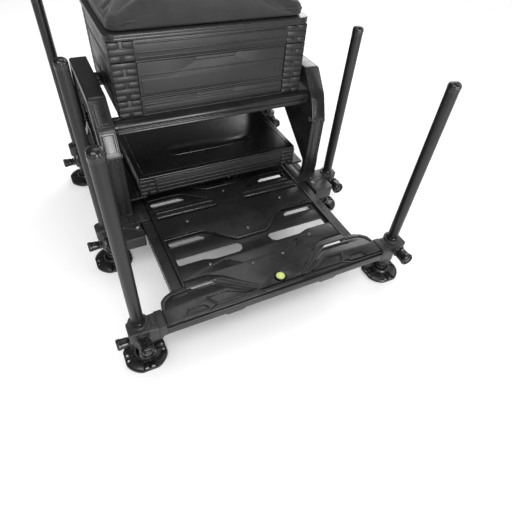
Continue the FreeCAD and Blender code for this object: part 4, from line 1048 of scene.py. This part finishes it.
def build_channels():
    """Base channels with their guide lips."""
    low, high = node_box("base_channel_right")
    x0, x1, y0, y1, z0, z1, wall = high.x - 24, high.x, low.y, high.y, low.z, high.z, BAR_WALL
    box, bore = rectangle(x0, x1, z0, z1), rectangle(x0 + wall, x1 - wall, z0 + wall, z1 - wall)
    forms = [facing(rounded(box, 1.6, 3), y0, y1, edge=0.5, holes=[rounded(bore, 1, 2)]),
             soft_block(low.x, x0 + 1, y0, y1, z0, z0 + 3.4, edge=0.8),
             soft_block(low.x + 9, x0 + 1, y0, y1, z1 - 4.4, z1, edge=0.8)]
    for x in (x0 + 6, x1 - 7.2):
        forms.append(soft_block(x, x + 1.2, y0 + 1, y1 - 1, z1 - 0.4, z1 + 0.5, edge=0.4))
    flipped = [mirrored(bm) for bm in forms]
    piece("base_channel_left_section", flipped, "anodised_bar", "root", "base_channel_left")
    piece("base_channel_right_section", forms, "anodised_bar", "root", "base_channel_right")


# Metres: mesh cell and greatest stretch of the cover, size of its sewn channels, height that rays start from
PAD_CELL = 5 * MM
PAD_STRETCH = 24 * MM
CHANNEL_DEEP = 6.5 * MM
CHANNEL_WIDE = 7 * MM
RAY_START = 0.7

# Frames of the cloth run; millimetres of the cover's corners, and of its channels from front and rear
PAD_FRAMES = 20
PAD_RADIUS = 22.0
CHANNEL_IN = 96.0


def pad_outline(x, y0, y1, r, steps=10):
    """Outline of the cushion with true round corners."""
    out = []
    for turn, (cx, cy) in enumerate(((x - r, y1 - r), (-x + r, y1 - r), (-x + r, y0 + r), (x - r, y0 + r))):
        out += arc_points((cx, cy), r, 90 * turn, 90 * (turn + 1), steps)
    return out


def made_real(obj):
    """The object with its modifiers worked into its mesh."""
    graph = bpy.context.evaluated_depsgraph_get()
    obj.data = bpy.data.meshes.new_from_object(obj.evaluated_get(graph))
    obj.modifiers.clear()


def swell(obj, cap):
    """Cushion blown up by cloth pressure; no point moves further than the cap, and the bottom stays flat."""
    start = [v.co.copy() for v in obj.data.vertices]
    low = min(v.z for v in start)
    pins = obj.vertex_groups.new(name="bottom")
    pins.add([i for i, v in enumerate(start) if v.z < low + 3 * MM], 1.0, "REPLACE")
    cloth = obj.modifiers.new("cloth", "CLOTH")
    settings = cloth.settings
    settings.use_pressure = True
    settings.uniform_pressure_force = 4.0
    settings.vertex_group_mass = "bottom"
    settings.effector_weights.gravity = 0.0
    settings.quality = 5
    settings.tension_stiffness = settings.compression_stiffness = 12
    settings.bending_stiffness = 1.5
    cloth.point_cache.frame_start = 1
    cloth.point_cache.frame_end = PAD_FRAMES
    for number in range(1, PAD_FRAMES + 1):
        bpy.context.scene.frame_set(number)
    graph = bpy.context.evaluated_depsgraph_get()
    blown = [v.co.copy() for v in obj.evaluated_get(graph).data.vertices]
    obj.modifiers.remove(cloth)
    bpy.context.scene.frame_set(1)
    for vertex, a, b in zip(obj.data.vertices, start, blown):
        step = b - a
        if step.length > cap:
            step *= cap / step.length
        vertex.co = a + step


def shape_pad(pad, low, high):
    """Cushion scaled to the height and width that it may fill."""
    points = [v.co for v in pad.data.vertices]
    bottom = min(p.z for p in points)
    want_low, want_high = low.z * MM, (high.z + 1.5) * MM
    k = (want_high - want_low) / (max(p.z for p in points) - bottom)
    kx = min(1.0, (high.x + 3) * MM / max(abs(p.x) for p in points))
    for vertex in pad.data.vertices:
        vertex.co.z = want_low + (vertex.co.z - bottom) * k
        vertex.co.x *= kx


def build_cushion():
    """Padded seat: blown cover with two sewn channels, stitches, and piping along its edges."""
    low, high = node_box("seat_cushion")
    x, y0, y1, z0, z1 = high.x - 3.5, low.y + 3.5, high.y - 3.5, low.z + 0.6, high.z - 8.5
    body = moved(plate(pad_outline(x, y0, y1, PAD_RADIUS), z0, z1, edge=11, steps=5), TO_FRAME)
    mesh = bpy.data.meshes.new("seat_pad")
    body.to_mesh(mesh)
    body.free()
    pad = add_object("seat_pad", mesh)
    remesh = pad.modifiers.new("remesh", "REMESH")
    remesh.mode = "VOXEL"
    remesh.voxel_size = PAD_CELL
    made_real(pad)
    swell(pad, PAD_STRETCH)
    shape_pad(pad, low, high)
    channels = [low.y + CHANNEL_IN, high.y - CHANNEL_IN]
    rows = [depth_in_frame(y) for y in channels]
    for vertex in pad.data.vertices:
        if vertex.co.z > (z0 + 18) * MM:
            drop = sum(CHANNEL_DEEP * math.exp(-((vertex.co.y - row) / CHANNEL_WIDE) ** 2) for row in rows)
            vertex.co = vertex.co - Vector((0, 0, drop))
    smooth = pad.modifiers.new("smooth", "SUBSURF")
    smooth.levels = smooth.render_levels = 1
    made_real(pad)
    finish_mesh(pad, MATERIALS["cushion_cover"], SHARP_PAD)
    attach(pad, "seat")
    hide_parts("seat_cushion")
    build_piping(pad, channels)


def build_piping(pad, channels):
    """Piping round the bottom seam, and a line of stitches along each sewn channel."""
    tree = BVHTree.FromObject(pad, bpy.context.evaluated_depsgraph_get())
    low, high = node_box("seat_cushion")
    to_rows = Vector((0, FRONT_Y / MM, 0))
    z, mid = low.z + 13, (low.y + high.y) / 2
    centre = TO_FRAME @ Vector((0, mid, z))
    seam = []
    for px, py in pad_outline(high.x - 2, low.y + 2, high.y - 2, PAD_RADIUS, 12):
        out = TO_FRAME @ Vector((px * 1.2, (py - mid) * 1.2 + mid, z))
        aim = Vector((px * MM, depth_in_frame(py), centre.z)) - centre
        hit = tree.ray_cast(out, -aim.normalized())[0]
        if hit:
            seam.append(hit / MM - to_rows)
    forms = [tube_along(seam, 2.2, True)]
    stitch = [(0, -2.6), (0.5, -2.4), (0.75, -1.5), (0.8, 0), (0.75, 1.5), (0.5, 2.4), (0, 2.6)]
    for y in channels:
        for i in range(-26, 27):
            over_row = Vector((i * 8.0 * MM, depth_in_frame(y), RAY_START))
            hit = tree.ray_cast(over_row, Vector((0, 0, -1)))[0]
            if hit:
                spot = hit / MM - to_rows + Vector((0, 0, 0.3))
                forms.append(stood(stitch, (1, 0, 0), spot, steps=8))
    piece("seat_piping", forms, "cushion_cover", "seat")


bpy.context.scene.view_settings.view_transform = "Standard"
add_camera()
add_studio()
MATERIALS = make_materials()
dress_nodes()
build_tread()
build_button()
build_screws()
build_front_bar()
build_castings()
build_knobs()
build_feet()
build_leg_fittings()
build_side_frames()
build_upper_rails()
build_channels()
build_low_case()
build_stack()
build_seat_base()
build_cushion()
